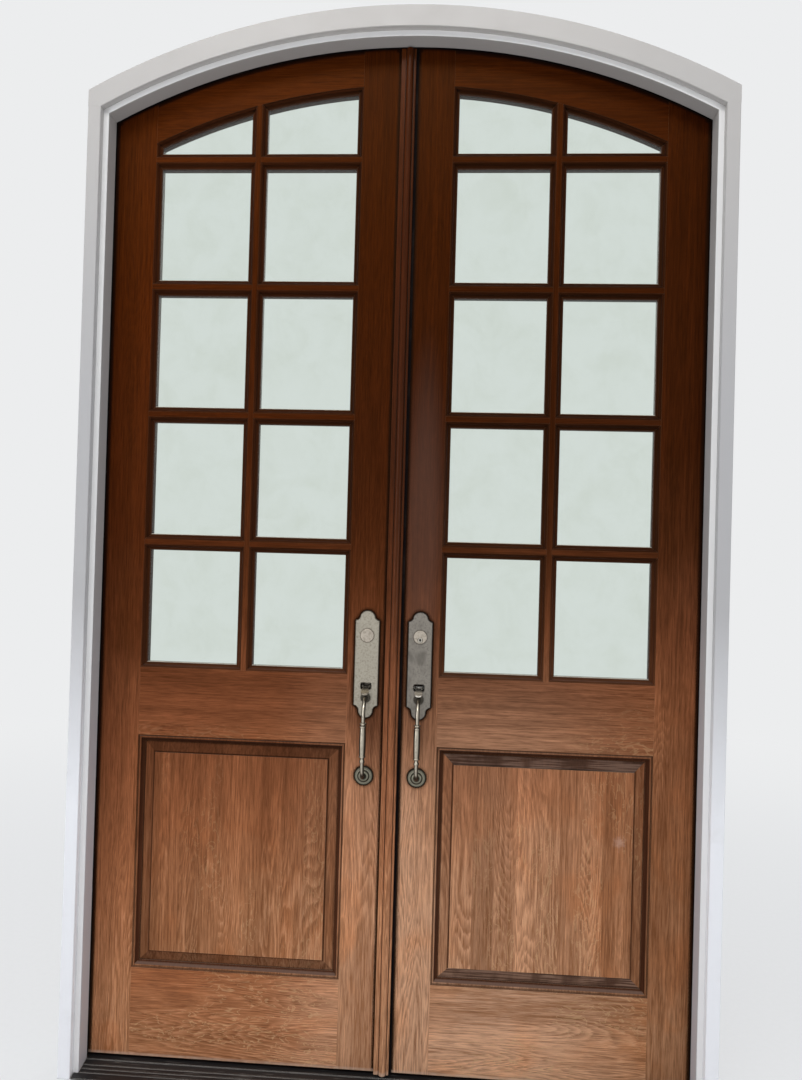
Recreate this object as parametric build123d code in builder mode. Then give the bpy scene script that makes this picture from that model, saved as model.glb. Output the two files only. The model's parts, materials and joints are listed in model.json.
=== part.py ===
"""Double entry door: two arched glazed leaves in a rabbeted frame.

The front is the outside and looks along -Y, X runs across the doorway and +Z is up. The origin is below the
middle of the door, under the threshold. The leaves open inwards, towards +Y. The pieces of the right leaf are
drawn and those of the left leaf are their mirror images, apart from what the meeting edges carry.
"""

from build123d import *
import math
import os

os.makedirs("parts", exist_ok=True)

# Leaves
leaf_width = 813.0
leaf_height = 2763.0
leaf_thickness = 44.5
leaf_bottom = 26.0
leaf_top_radius = 1719.7
meeting_gap = 3.0
meeting_bevel = 1.6
hinge_gap = 3.0
head_gap = 3.0

# Stiles, rails and bars
stile_face = 121.5
top_rail_face = 106.7
lock_rail_height = 184.5
bottom_rail_height = 238.0
lock_rail_above_latch = 32.0
bar_face = 14.0
full_light_rows = 4
shortest_light_edge = 18.6
bar_overrun = 2.0
tenon_length = 50.0
tenon_thickness = 13.0
tenon_shoulder = 22.0
tenon_bore_gap = 2.0

# Glass edge of every stile, rail and bar: an ogee, then the rabbet for the pane
sticking_width = 13.0
sticking_quirk = 1.2
sticking_ogee_width = 11.6
sticking_ogee_depth = 8.4
sticking_depth = 12.5
rabbet_width = 10.0
pane_thickness = 6.0
pane_edge_gap = 1.0
bead_chamfer = 6.0

# Raised panel and its mitred mouldings
panel_tongue_thickness = 22.5
panel_tongue_length = 10.0
panel_groove_gap = 1.0
moulding_width = 18.0
moulding_top = 1.5
moulding_fillet = 2.5
moulding_step = 1.6
moulding_bead = 7.0
moulding_bead_rise = 2.3
moulding_foot = 2.0
moulding_foot_depth = 8.6
moulding_hollow = 1.4
panel_bevel_width = 29.0
panel_bevel_top = 4.8
panel_field_depth = 2.2

# Frame
jamb_thickness = 50.0
stop_width = 12.7
reveal_depth = 49.0
seal_thickness = 10.0
seal_overhang = 1.0
soft_gap = 0.3
kerf_width = 2.6
kerf_depth = 9.0
kerf_inset = 7.0
kerf_play = 0.2
casing_reveal = 15.0
casing_thickness = 19.0
head_casing_width = 57.0
casing_ease = 1.5
arch_overrun = 2.0

# Threshold
sill_height = 18.0
sill_nose_height = 4.0
sill_nose_width = 8.0
sill_nose_rise = 1.25
sill_riser = 2.5
sill_riser_setback = 14.0
sill_back_length = 10.0
sill_back_height = 6.0
sill_ridge_count = 3
sill_ridge_width = 3.0
sill_ridge_height = 0.8
sill_ridge_pitch = 13.0
sweep_setback = 3.0
sweep_carrier_height = 4.0
sweep_fin_width = 4.0
sweep_fin_count = 3

# Hinges
hinge_count = 4
hinge_height = 114.0
hinge_first = 250.0
hinge_last_from_top = 180.0
hinge_plate_width = 35.0
hinge_plate_thickness = 3.0
hinge_pin_offset = 9.0
hinge_knuckle_radius = 7.5
hinge_knuckle_count = 5
hinge_knuckle_play = 0.25
hinge_pin_radius = 3.5
hinge_pin_play = 0.05
hinge_tip_radius = 5.5
hinge_tip_height = 4.0

# Astragal on the left leaf
astragal_left = 22.0
astragal_right = 18.0
astragal_margin_thickness = 9.0
astragal_bead_centre = 1.5
astragal_bead_radius = 9.5
astragal_quirk_width = 1.6
astragal_quirk_depth = 2.0
astragal_seal_thickness = 4.2
astragal_seal_width = 18.0
astragal_seal_overhang = 7.0
astragal_bottom_drop = 3.0
astragal_head_gap = 2.0

# Handle sets
backset = 69.85
latch_height = 1024.0
bolt_spacing = 139.7
plate_width = 66.0
plate_thickness = 5.0
plate_bevel = 1.6
plate_corner_radius = 13.0
plate_dome_rise = 13.0
plate_foot_drop = 20.0
plate_shoulder_above_latch = 181.0
plate_foot_below_latch = 49.0
thumb_slot_width = 29.0
thumb_slot_height = 18.0
thumb_slot_above_latch = 4.0
thumb_slot_corner = 5.0
thumb_width = 21.0
thumb_neck_width = 13.0
thumb_neck_length = 16.0
thumb_reach = 44.0
thumb_drop = 12.0
thumb_half_drop = 3.6
thumb_thickness = 4.0
thumb_pivot_radius = 3.0
thumb_pivot_play = 0.05
thumb_pivot_depth = 3.5
thumb_pivot_below_slot = 5.0
thumb_ear_thickness = 3.0
thumb_ear_length = 8.5
thumb_ear_height = 12.0
thumb_ear_gap = 1.5
cross_bore_radius = 20.0
cylinder_radius = 18.0
cylinder_rise = 3.5
cylinder_neck_radius = 16.4
cylinder_neck_length = 11.0
cylinder_edge = 1.2
plate_hole_play = 0.1
plug_radius = 6.8
plug_play = 0.08
plug_drop = 7.5
plug_rise = 0.6
keyhole_width = 1.8
keyhole_height = 8.0
keyhole_depth = 4.0
grip_reach = 52.0
grip_top_below_latch = 27.5
rosette_below_latch = 237.0
grip_boss_radius = 12.5
grip_boss_height = 3.5
grip_arm_radius = 5.2
grip_bend_radius = 38.0
grip_collar_radius = 9.2
grip_collar_root = 7.2
grip_barrel_radius = 8.8
grip_barrel_end_radius = 7.6
grip_barrel_length = 74.0
grip_neck_length = 20.0
grip_collar_length = 4.0
grip_waist_radius = 6.2
grip_waist_length = 4.0
grip_bead_radius = 7.2
grip_bead_drop = 11.0
rosette_radius = 25.4
rosette_thickness = 10.0
rosette_rim = 3.0
rosette_edge = 1.0
rosette_step = 1.0
rosette_step_radius = 19.5
rosette_top_radius = 9.0
inside_plate_thickness = 4.0
lever_projection = 60.0
lever_length = 108.0
lever_radius = 7.0
lever_bend_radius = 16.0
lever_spindle_radius = 8.0
lever_hub_radius = 12.0
lever_hub_height = 8.0
lever_hub_edge = 2.0
turn_spindle_radius = 4.0
turn_collar_radius = 9.5
turn_collar_height = 5.0
turn_length = 32.0
turn_width = 8.0
turn_height = 15.0
turn_edge = 1.3
spindle_play = 0.08
spindle_inner_length = 8.0

# Bolts and edge plates
edge_plate_width = 25.4
edge_plate_height = 57.0
edge_plate_thickness = 2.2
edge_plate_corner = 3.0
case_radius = 12.5
case_length = 84.0
case_play = 0.1
bolt_play = 0.1
latch_bolt_size = (12.7, 16.0)
latch_throw = 12.7
latch_nose_width = 4.2
latch_bevel_length = 10.2
dead_bolt_size = (14.0, 18.0)
dead_throw = 25.0
bolt_length = 50.0
bolt_setback = 0.2
strike_play = 1.2
strike_depth = 4.0
flush_bolt_radius = 5.0
flush_bolt_inset = 12.0
flush_bolt_length = 270.0
flush_bolt_setback = 2.0
flush_bolt_edge = 1.0
flush_bolt_throw = 18.0
flush_bolt_play = 0.1
flush_plate_height = 150.0
flush_plate_width = 19.0
flush_tab_height = 14.0
flush_tab_width = 5.0
flush_tab_inset = 20.0
flush_slot_play = 1.0
keeper_length = 60.0
keeper_thickness = 2.0
keeper_width = 25.0
keeper_play = 1.2
socket_play = 2.0
socket_depth = 4.0


def arch_height(radius, x):
    """Height at x of a circle of this radius about the arch's centre."""
    return arch_centre + math.sqrt(radius**2 - x**2)


# Places worked out from the sizes above
front_reach = seal_thickness + reveal_depth + casing_thickness
back_reach = leaf_thickness + lever_projection
leaf_front = (front_reach - back_reach) / 2
leaf_back = leaf_front + leaf_thickness
leaf_middle = leaf_front + leaf_thickness / 2
casing_front = leaf_front - front_reach
jamb_front = casing_front + casing_thickness
stop_back = leaf_front - seal_thickness

meeting_edge = meeting_gap / 2
hinge_edge = meeting_edge + leaf_width
lock_flat = meeting_edge + stile_face
hinge_flat = hinge_edge - stile_face
rabbet_x = hinge_edge + hinge_gap
stop_x = rabbet_x - stop_width
jamb_outer = stop_x + jamb_thickness
casing_inner = stop_x + casing_reveal

leaf_top = leaf_bottom + leaf_height
arch_centre = leaf_top - leaf_top_radius
rail_edge_radius = leaf_top_radius - top_rail_face
sight_radius = rail_edge_radius - sticking_width
rabbet_radius = leaf_top_radius + head_gap
stop_radius = rabbet_radius - stop_width
jamb_outer_radius = stop_radius + jamb_thickness
casing_inner_radius = stop_radius + casing_reveal
casing_outer_radius = casing_inner_radius + head_casing_width

latch_z = leaf_bottom + latch_height
dead_z = latch_z + bolt_spacing
plug_z = dead_z - plug_drop
panel_bottom = leaf_bottom + bottom_rail_height
lock_rail_top = latch_z + lock_rail_above_latch
panel_top = lock_rail_top - lock_rail_height
bar_sight = bar_face + 2 * sticking_width
sight_left = lock_flat + sticking_width
sight_right = hinge_flat - sticking_width
light_width = (sight_right - sight_left - bar_sight) / 2
light_columns = ((sight_left, sight_left + light_width), (sight_right - light_width, sight_right))
bar_centre = (sight_left + sight_right) / 2
first_light = lock_rail_top + sticking_width
top_row = arch_height(sight_radius, sight_right) - shortest_light_edge
row_pitch = (top_row - first_light) / full_light_rows
light_height = row_pitch - bar_sight
cross_bar_centres = [first_light - bar_sight / 2 + row_pitch * (row + 1) for row in range(full_light_rows)]
rabbet_setback = sticking_width - rabbet_width

lock_x = meeting_edge + backset
edge_face = meeting_edge + meeting_bevel
lowest_hinge = leaf_bottom + hinge_first
highest_hinge = arch_height(leaf_top_radius, hinge_edge) - hinge_last_from_top
hinge_pitch = (highest_hinge - lowest_hinge) / (hinge_count - 1)
hinge_places = [lowest_hinge + hinge_pitch * step for step in range(hinge_count)]
pin_x = (hinge_edge + rabbet_x) / 2
pin_y = leaf_back + hinge_pin_offset

# Sweep of the arched pieces in degrees, a little past the corners of the frame
arch_half_angle = math.degrees(math.asin(jamb_outer / stop_radius)) + arch_overrun


def block(x, y, z, mode=Mode.ADD):
    """A block between two values along each axis."""
    with Locations(((x[0] + x[1]) / 2, (y[0] + y[1]) / 2, (z[0] + z[1]) / 2)):
        Box(x[1] - x[0], y[1] - y[0], z[1] - z[0], mode=mode)


def elevation(y):
    """The upright plane at y, seen from outside: X to the right and Z up."""
    return Plane.XZ.offset(-y)


def arch_disc(radius, mode=Mode.INTERSECT):
    """A disc about the arch's centre, thicker than the frame."""
    with Locations(Location((0, leaf_middle, arch_centre), (90, 0, 0))):
        Cylinder(radius, 2 * (front_reach + back_reach), mode=mode)


def rod_along_y(radius, x, z, y, mode=Mode.ADD):
    """A round rod or hole along Y between two values."""
    with Locations(Location((x, (y[0] + y[1]) / 2, z), (90, 0, 0))):
        Cylinder(radius, y[1] - y[0], mode=mode)


def rod_along_z(radius, x, y, z, mode=Mode.ADD):
    """A round rod or hole along Z between two values."""
    with Locations((x, y, (z[0] + z[1]) / 2)):
        Cylinder(radius, z[1] - z[0], mode=mode)


def arch_revolve(points, start, arc):
    """The section through these (depth, radius) points, turned about the arch's centre line."""
    tilt = math.radians(start)
    plane = Plane((0, 0, arch_centre), x_dir=(0, 1, 0), z_dir=(math.cos(tilt), 0, -math.sin(tilt)))
    with BuildPart() as ring:
        with BuildSketch(plane):
            with BuildLine():
                Polyline(*points, close=True)
            make_face()
        revolve(axis=Axis((0, 0, arch_centre), (0, 1, 0)), revolution_arc=arc)
    return ring.part


def mitre_plane(x_sign):
    """The joint between a jamb leg and the head, from the stop's corner to the outer corner."""
    inner = Vector(stop_x, 0, arch_height(stop_radius, stop_x))
    outer = Vector(jamb_outer, 0, arch_height(jamb_outer_radius, jamb_outer))
    along = outer - inner
    return Plane((x_sign * inner.X, 0, inner.Z), x_dir=(0, 1, 0), z_dir=(-x_sign * along.Z, 0, along.X))


def sticking_section(origin, towards_glass, run):
    """Section of a glass edge: quirk, ogee, fillet and rabbet, from the flat face towards the glass."""
    with BuildSketch(Plane(origin, x_dir=towards_glass, z_dir=run)) as section:
        with BuildLine():
            middle = (sticking_ogee_width / 2, sticking_quirk + sticking_ogee_depth / 2)
            upper = TangentArc((0, sticking_quirk), middle, tangent=(1, 0))
            lower = TangentArc(
                middle, (sticking_ogee_width, sticking_quirk + sticking_ogee_depth), tangent=upper % 1
            )
            Polyline(
                lower @ 1,
                (sticking_width, sticking_quirk + sticking_ogee_depth),
                (sticking_width, sticking_depth),
                (rabbet_setback, sticking_depth),
                (rabbet_setback, leaf_thickness),
                (0, leaf_thickness),
                (0, sticking_quirk),
            )
        make_face()
    return section.sketch


def light_outline(column, row, grow):
    """Outline of a light, grown on every side, with the arch over the top row."""
    left, right = light_columns[column]
    bottom = first_light + row * row_pitch
    top = bottom + light_height if row < full_light_rows else leaf_top
    with BuildSketch(elevation(leaf_front + sticking_depth)) as outline:
        with Locations(((left + right) / 2, (bottom + top) / 2)):
            Rectangle(right - left + 2 * grow, top - bottom + 2 * grow)
        if row == full_light_rows:
            with Locations((0, arch_centre)):
                Circle(sight_radius + grow - soft_gap, mode=Mode.INTERSECT)
    return outline.sketch


def write(part, name):
    """Labels a finished piece and writes it."""
    part.label = name
    export_step(part, f"parts/{name}.step")


def mirrored(part):
    """The same piece on the other side of the door."""
    with BuildPart() as other:
        mirror(part, about=Plane.YZ)
    return other.part


def write_pair(part, name):
    """Writes the right leaf's or side's piece and its mirror image."""
    write(part, f"right_{name}")
    write(mirrored(part), f"left_{name}")


def tenon_on_arch():
    """Tenon of the top rail, which follows the arch."""
    with BuildPart() as tenon:
        add(
            arch_revolve(
                [
                    (leaf_middle - tenon_thickness / 2, rail_edge_radius + tenon_shoulder),
                    (leaf_middle + tenon_thickness / 2, rail_edge_radius + tenon_shoulder),
                    (leaf_middle + tenon_thickness / 2, leaf_top_radius - tenon_shoulder),
                    (leaf_middle - tenon_thickness / 2, leaf_top_radius - tenon_shoulder),
                ],
                0,
                arch_half_angle,
            )
        )
        block(
            (lock_flat - tenon_length, hinge_flat + tenon_length),
            (leaf_front, leaf_back),
            (arch_centre, leaf_top),
            mode=Mode.INTERSECT,
        )
    return tenon.part


def straight_tenon(z):
    """Tenon that runs through a straight rail and into both stiles."""
    with BuildPart() as tenon:
        block(
            (lock_flat - tenon_length, hinge_flat + tenon_length),
            (leaf_middle - tenon_thickness / 2, leaf_middle + tenon_thickness / 2),
            z,
        )
    return tenon.part


def panel_groove():
    """The space that the panel's tongue takes in the stiles and rails."""
    reach = panel_tongue_length + panel_groove_gap
    with BuildPart() as groove:
        block(
            (lock_flat - reach, hinge_flat + reach),
            (leaf_middle - panel_tongue_thickness / 2, leaf_middle + panel_tongue_thickness / 2),
            (panel_bottom - reach, panel_top + reach),
        )
    return groove.part


top_tenon = tenon_on_arch()
lock_tenon = straight_tenon((panel_top + tenon_shoulder, latch_z - cross_bore_radius - tenon_bore_gap))
bottom_tenon = straight_tenon((leaf_bottom + tenon_shoulder, panel_bottom - tenon_shoulder))
tenons = (top_tenon, lock_tenon, bottom_tenon)
groove_space = panel_groove()


def glass_edge_up(flat_x, towards_glass):
    """Upright glass edge on a stile, from the lock rail to the arched rail."""
    run = (0, 0, towards_glass)
    start = lock_rail_top if towards_glass > 0 else leaf_top
    with BuildPart() as edge:
        section = sticking_section((flat_x, leaf_front, start), (towards_glass, 0, 0), run)
        extrude(section, leaf_top - lock_rail_top)
        arch_disc(rail_edge_radius)
    return edge.part


stile_edges = (glass_edge_up(hinge_flat, -1), glass_edge_up(lock_flat, 1))


def hinge_mortises():
    """Where the leaf's hinge plates are let into the hinge stile."""
    with BuildPart() as mortises:
        for z in hinge_places:
            block(
                (hinge_edge - hinge_plate_thickness, hinge_edge),
                (leaf_back - hinge_plate_width, leaf_back),
                (z - hinge_height / 2, z + hinge_height / 2),
            )
    return mortises.part


with BuildPart() as hinge_stile:
    block((hinge_flat, hinge_edge), (leaf_front, leaf_back), (leaf_bottom, leaf_top))
    add(stile_edges[0])
    arch_disc(leaf_top_radius)
    for tenon in tenons:
        add(tenon, mode=Mode.SUBTRACT)
    add(groove_space, mode=Mode.SUBTRACT)
    add(hinge_mortises(), mode=Mode.SUBTRACT)
write_pair(hinge_stile.part, "hinge_stile")

with BuildPart() as plain_lock_stile:
    with BuildSketch(Plane.XY.offset(leaf_bottom)):
        with BuildLine():
            Polyline(
                (meeting_edge + meeting_bevel, leaf_front),
                (lock_flat, leaf_front),
                (lock_flat, leaf_back),
                (meeting_edge, leaf_back),
                close=True,
            )
        make_face()
    extrude(amount=leaf_height)
    add(stile_edges[1])
    arch_disc(leaf_top_radius)
    for tenon in tenons:
        add(tenon, mode=Mode.SUBTRACT)
    add(groove_space, mode=Mode.SUBTRACT)

with BuildPart() as top_rail:
    add(
        arch_revolve(
            [
                (leaf_front, rail_edge_radius),
                (leaf_back, rail_edge_radius),
                (leaf_back, leaf_top_radius),
                (leaf_front, leaf_top_radius),
            ],
            0,
            arch_half_angle,
        )
    )
    revolve(
        sticking_section((0, leaf_front, arch_centre + rail_edge_radius), (0, 0, -1), (1, 0, 0)),
        axis=Axis((0, 0, arch_centre), (0, 1, 0)),
        revolution_arc=arch_half_angle,
    )
    block((lock_flat, hinge_flat), (leaf_front, leaf_back), (arch_centre, leaf_top), mode=Mode.INTERSECT)
    for edge in stile_edges:
        add(edge, mode=Mode.SUBTRACT)
    add(top_tenon)
write_pair(top_rail.part, "top_rail")

with BuildPart() as lock_rail:
    block((lock_flat, hinge_flat), (leaf_front, leaf_back), (panel_top, lock_rail_top))
    rail_edge = sticking_section((hinge_flat, leaf_front, lock_rail_top), (0, 0, 1), (-1, 0, 0))
    extrude(rail_edge, hinge_flat - lock_flat)
    for edge in stile_edges:
        add(edge, mode=Mode.SUBTRACT)
    add(groove_space, mode=Mode.SUBTRACT)
    add(lock_tenon)
write_pair(lock_rail.part, "lock_rail")

with BuildPart() as bottom_rail:
    block((lock_flat, hinge_flat), (leaf_front, leaf_back), (leaf_bottom, panel_bottom))
    add(groove_space, mode=Mode.SUBTRACT)
    add(bottom_tenon)
write_pair(bottom_rail.part, "bottom_rail")


def bar_along(run, towards_glass, origin, length):
    """A glazing bar: the flat core and a glass edge on each side of it."""
    side = Vector(*towards_glass)
    along = Vector(*run)
    with BuildPart() as bar:
        for sign in (1, -1):
            start = Vector(*origin) if sign > 0 else Vector(*origin) + along * length
            with BuildSketch(Plane(start, x_dir=side * sign, z_dir=along * sign)):
                with Locations((0, leaf_thickness / 2)):
                    Rectangle(bar_face, leaf_thickness)
            extrude(amount=length)
            extrude(sticking_section(start + side * sign * bar_face / 2, side * sign, along * sign), length)
    return bar.part


with BuildPart() as upright_bar:
    add(
        bar_along(
            (0, 0, 1), (1, 0, 0), (bar_centre, leaf_front, lock_rail_top), leaf_top - lock_rail_top
        )
    )
    arch_disc(rail_edge_radius)
    add(lock_rail.part, mode=Mode.SUBTRACT)
    add(top_rail.part, mode=Mode.SUBTRACT)
write_pair(upright_bar.part, "upright_bar")


def cross_bar(z):
    """One cross bar, scribed over the stiles and the upright bar and so in two lengths."""
    start = (lock_flat - bar_overrun, leaf_front, z)
    with BuildPart() as bar:
        add(bar_along((1, 0, 0), (0, 0, -1), start, hinge_flat - lock_flat + 2 * bar_overrun))
        for upright in (hinge_stile.part, plain_lock_stile.part, upright_bar.part):
            add(upright, mode=Mode.SUBTRACT)
    return bar.part


with BuildPart() as cross_bars:
    for z in cross_bar_centres:
        add(cross_bar(z))
write_pair(cross_bars.part, "cross_bars")

lights = [(column, row) for column in range(len(light_columns)) for row in range(full_light_rows + 1)]

with BuildPart() as panes:
    for column, row in lights:
        extrude(light_outline(column, row, rabbet_width - pane_edge_gap), amount=-pane_thickness)
write_pair(panes.part, "panes")


def glazing_bead(column, row):
    """The bead that holds one pane from the inside, with a chamfer along its sight edge."""
    shown = leaf_thickness - sticking_depth - pane_thickness
    with BuildPart() as bead:
        extrude(light_outline(column, row, rabbet_width), amount=-shown)
        extrude(light_outline(column, row, 0), amount=-shown, mode=Mode.SUBTRACT)
        rim = bead.faces().sort_by(Axis.Y)[-1].inner_wires()[0].edges()
        chamfer(rim, length=bead_chamfer)
    return bead.part.moved(Location((0, pane_thickness, 0)))


with BuildPart() as glazing_beads:
    for column, row in lights:
        add(glazing_bead(column, row))
write_pair(glazing_beads.part, "glazing_beads")


def panel_rectangle(depth, inset):
    """A rectangle at a depth behind the outside face, set in from the panel opening."""
    with BuildSketch(elevation(leaf_front + depth)) as rectangle:
        with Locations(((lock_flat + hinge_flat) / 2, (panel_bottom + panel_top) / 2)):
            Rectangle(hinge_flat - lock_flat - 2 * inset, panel_top - panel_bottom - 2 * inset)
    return rectangle.sketch


panel_tongue_depth = (leaf_thickness - panel_tongue_thickness) / 2
panel_field_inset = moulding_width + panel_bevel_width

with BuildPart() as panel:
    extrude(panel_rectangle(panel_tongue_depth, -panel_tongue_length), amount=-panel_tongue_thickness / 2)
    loft(
        [
            panel_rectangle(panel_tongue_depth, moulding_width),
            panel_rectangle(panel_bevel_top, panel_field_inset),
        ]
    )
    extrude(panel_rectangle(panel_bevel_top, panel_field_inset), amount=panel_bevel_top - panel_field_depth)
    mirror(about=elevation(leaf_middle))
write_pair(panel.part, "panel")

with BuildPart() as panel_moulding:
    with BuildLine(elevation(leaf_front)) as moulding_path:
        Polyline(
            (bar_centre, panel_bottom),
            (lock_flat, panel_bottom),
            (lock_flat, panel_top),
            (hinge_flat, panel_top),
            (hinge_flat, panel_bottom),
            close=True,
        )
    with BuildSketch(Plane((bar_centre, leaf_front, panel_bottom), x_dir=(0, 0, 1), z_dir=(-1, 0, 0))):
        with BuildLine():
            bead_start = (moulding_fillet, moulding_top + moulding_step)
            bead_end = (moulding_fillet + moulding_bead, moulding_top + moulding_step)
            foot = (moulding_width - moulding_foot, moulding_foot_depth)
            Polyline((0, panel_tongue_depth), (0, moulding_top), (moulding_fillet, moulding_top), bead_start)
            ThreePointArc(
                bead_start, (moulding_fillet + moulding_bead / 2, bead_start[1] - moulding_bead_rise), bead_end
            )
            SagittaArc(bead_end, foot, moulding_hollow)
            Polyline(
                foot,
                (moulding_width, moulding_foot_depth),
                (moulding_width, panel_tongue_depth),
                (0, panel_tongue_depth),
            )
        make_face()
    sweep(path=moulding_path.wire(), transition=Transition.RIGHT)
    mirror(about=elevation(leaf_middle))
write_pair(panel_moulding.part, "panel_moulding")


def door_sweep():
    """Carrier and fins below the right leaf, just clear of the threshold."""
    front = leaf_front + sweep_setback
    back = leaf_back - sweep_setback
    pitch = (back - front - sweep_fin_width) / (sweep_fin_count - 1)
    with BuildPart() as sweep_strip:
        block((edge_face, hinge_edge), (front, back), (leaf_bottom - sweep_carrier_height, leaf_bottom))
        for fin in range(sweep_fin_count):
            start = front + fin * pitch
            block(
                (edge_face, hinge_edge),
                (start, start + sweep_fin_width),
                (sill_height + soft_gap, leaf_bottom - sweep_carrier_height),
            )
    return sweep_strip.part


def hinge_knuckles(z, first, radius):
    """Every second knuckle of the hinge at this height, starting from the given one."""
    step = hinge_height / hinge_knuckle_count
    for index in range(first, hinge_knuckle_count, 2):
        bottom = z - hinge_height / 2 + index * step + hinge_knuckle_play / 2
        rod_along_z(radius, pin_x, pin_y, (bottom, bottom + step - hinge_knuckle_play))


def hinge_links(z, first, x):
    """The straps that join a hinge plate to its own knuckles."""
    step = hinge_height / hinge_knuckle_count
    for index in range(first, hinge_knuckle_count, 2):
        bottom = z - hinge_height / 2 + index * step + hinge_knuckle_play / 2
        block(x, (leaf_back, pin_y), (bottom, bottom + step - hinge_knuckle_play))


with BuildPart() as leaf_hinges:
    for place in hinge_places:
        plate_x = (hinge_edge - hinge_plate_thickness, hinge_edge)
        block(
            plate_x,
            (leaf_back - hinge_plate_width, leaf_back),
            (place - hinge_height / 2, place + hinge_height / 2),
        )
        hinge_knuckles(place, 1, hinge_knuckle_radius)
        hinge_links(place, 1, plate_x)
        rod_along_z(
            hinge_pin_radius + hinge_pin_play,
            pin_x,
            pin_y,
            (place - hinge_height / 2, place + hinge_height / 2),
            mode=Mode.SUBTRACT,
        )
write_pair(leaf_hinges.part, "hinges")

with BuildPart() as right_frame_hinges:
    for place in hinge_places:
        plate_x = (rabbet_x, rabbet_x + hinge_plate_thickness)
        block(
            plate_x,
            (leaf_back - hinge_plate_width, leaf_back),
            (place - hinge_height / 2, place + hinge_height / 2),
        )
        hinge_knuckles(place, 0, hinge_knuckle_radius)
        hinge_links(place, 0, plate_x)
        for end in (-1, 1):
            tip = place + end * (hinge_height + hinge_tip_height) / 2
            with Locations((pin_x, pin_y, tip)):
                Cone(
                    hinge_tip_radius if end > 0 else hinge_pin_radius,
                    hinge_pin_radius if end > 0 else hinge_tip_radius,
                    hinge_tip_height,
                )
        rod_along_z(
            hinge_pin_radius, pin_x, pin_y, (place - hinge_height / 2, place + hinge_height / 2)
        )

with BuildPart() as frame_hinges:
    add(right_frame_hinges.part)
    mirror(right_frame_hinges.part, about=Plane.YZ)
write(frame_hinges.part, "frame_hinges")


def cross_bores():
    """Bores through the lock stile behind the handle set."""
    with BuildPart() as bores:
        for z in (latch_z, dead_z):
            rod_along_y(cross_bore_radius, lock_x, z, (leaf_front, leaf_back))
    return bores.part


def edge_plate(z, height, width, grow=0.0):
    """A round-cornered plate let into the right meeting edge, or the space for it."""
    with BuildPart() as plate:
        with BuildSketch(Plane.YZ.offset(edge_face - grow)):
            with Locations((leaf_middle, z)):
                RectangleRounded(width, height, edge_plate_corner)
        extrude(amount=edge_plate_thickness + grow)
    return plate.part


def bolt_space(size, z, grow, x):
    """The room a square bolt takes across the leaves, grown by a clearance."""
    with BuildPart() as space:
        block(
            x,
            (leaf_middle - size[0] / 2 - grow, leaf_middle + size[0] / 2 + grow),
            (z - size[1] / 2 - grow, z + size[1] / 2 + grow),
        )
    return space.part


plate_back = edge_face + edge_plate_thickness
bolt_nose = edge_face + bolt_setback
square_bolts = ((latch_z, latch_bolt_size), (dead_z, dead_bolt_size))

with BuildPart() as right_lock_stile:
    add(plain_lock_stile.part)
    add(cross_bores(), mode=Mode.SUBTRACT)
    for z in (latch_z, dead_z):
        add(edge_plate(z, edge_plate_height, edge_plate_width, edge_face), mode=Mode.SUBTRACT)
        with Locations(Location(((plate_back + case_length) / 2, leaf_middle, z), (0, 90, 0))):
            Cylinder(case_radius + case_play, case_length - plate_back, mode=Mode.SUBTRACT)
write(right_lock_stile.part, "right_lock_stile")

with BuildPart() as lock_cases:
    for z, size in square_bolts:
        add(edge_plate(z, edge_plate_height, edge_plate_width))
        with Locations(Location(((plate_back + case_length) / 2, leaf_middle, z), (0, 90, 0))):
            Cylinder(case_radius, case_length - plate_back)
        add(
            bolt_space(size, z, bolt_play, (0, bolt_nose + bolt_length + bolt_play)),
            mode=Mode.SUBTRACT,
        )
write(lock_cases.part, "lock_cases")

with BuildPart() as latch_bolt:
    with BuildSketch(Plane.XY.offset(latch_z - latch_bolt_size[1] / 2)):
        with BuildLine():
            Polyline(
                (bolt_nose, leaf_middle + latch_bolt_size[0] / 2),
                (bolt_nose, leaf_middle + latch_bolt_size[0] / 2 - latch_nose_width),
                (bolt_nose + latch_bevel_length, leaf_middle - latch_bolt_size[0] / 2),
                (bolt_nose + bolt_length, leaf_middle - latch_bolt_size[0] / 2),
                (bolt_nose + bolt_length, leaf_middle + latch_bolt_size[0] / 2),
                close=True,
            )
        make_face()
    extrude(amount=latch_bolt_size[1])
write(latch_bolt.part, "latch_bolt")

write(bolt_space(dead_bolt_size, dead_z, 0, (bolt_nose, bolt_nose + bolt_length)), "dead_bolt")

# The left meeting edge, drawn at the right one and mirrored: strikes, and two rods that bolt the leaf
flush_x = meeting_edge + flush_bolt_inset
top_rod = (
    arch_height(leaf_top_radius, flush_x) - flush_bolt_setback - flush_bolt_length,
    arch_height(leaf_top_radius, flush_x) - flush_bolt_setback,
)
bottom_rod = (leaf_bottom + flush_bolt_setback, leaf_bottom + flush_bolt_setback + flush_bolt_length)
flush_rods = (top_rod, bottom_rod)
flush_tabs = ((top_rod[0] + flush_tab_inset, 1), (bottom_rod[1] - flush_tab_inset, -1))


def flush_slot(tab_z, direction):
    """The slot that a flush bolt's tab runs in, from the edge plate to the rod."""
    middle = tab_z + direction * flush_bolt_throw / 2
    half_width = flush_tab_width / 2 + flush_slot_play
    half_height = (flush_tab_height + flush_bolt_throw) / 2 + flush_slot_play
    with BuildPart() as slot:
        block(
            (0, flush_x),
            (leaf_middle - half_width, leaf_middle + half_width),
            (middle - half_height, middle + half_height),
        )
    return slot.part


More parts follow.
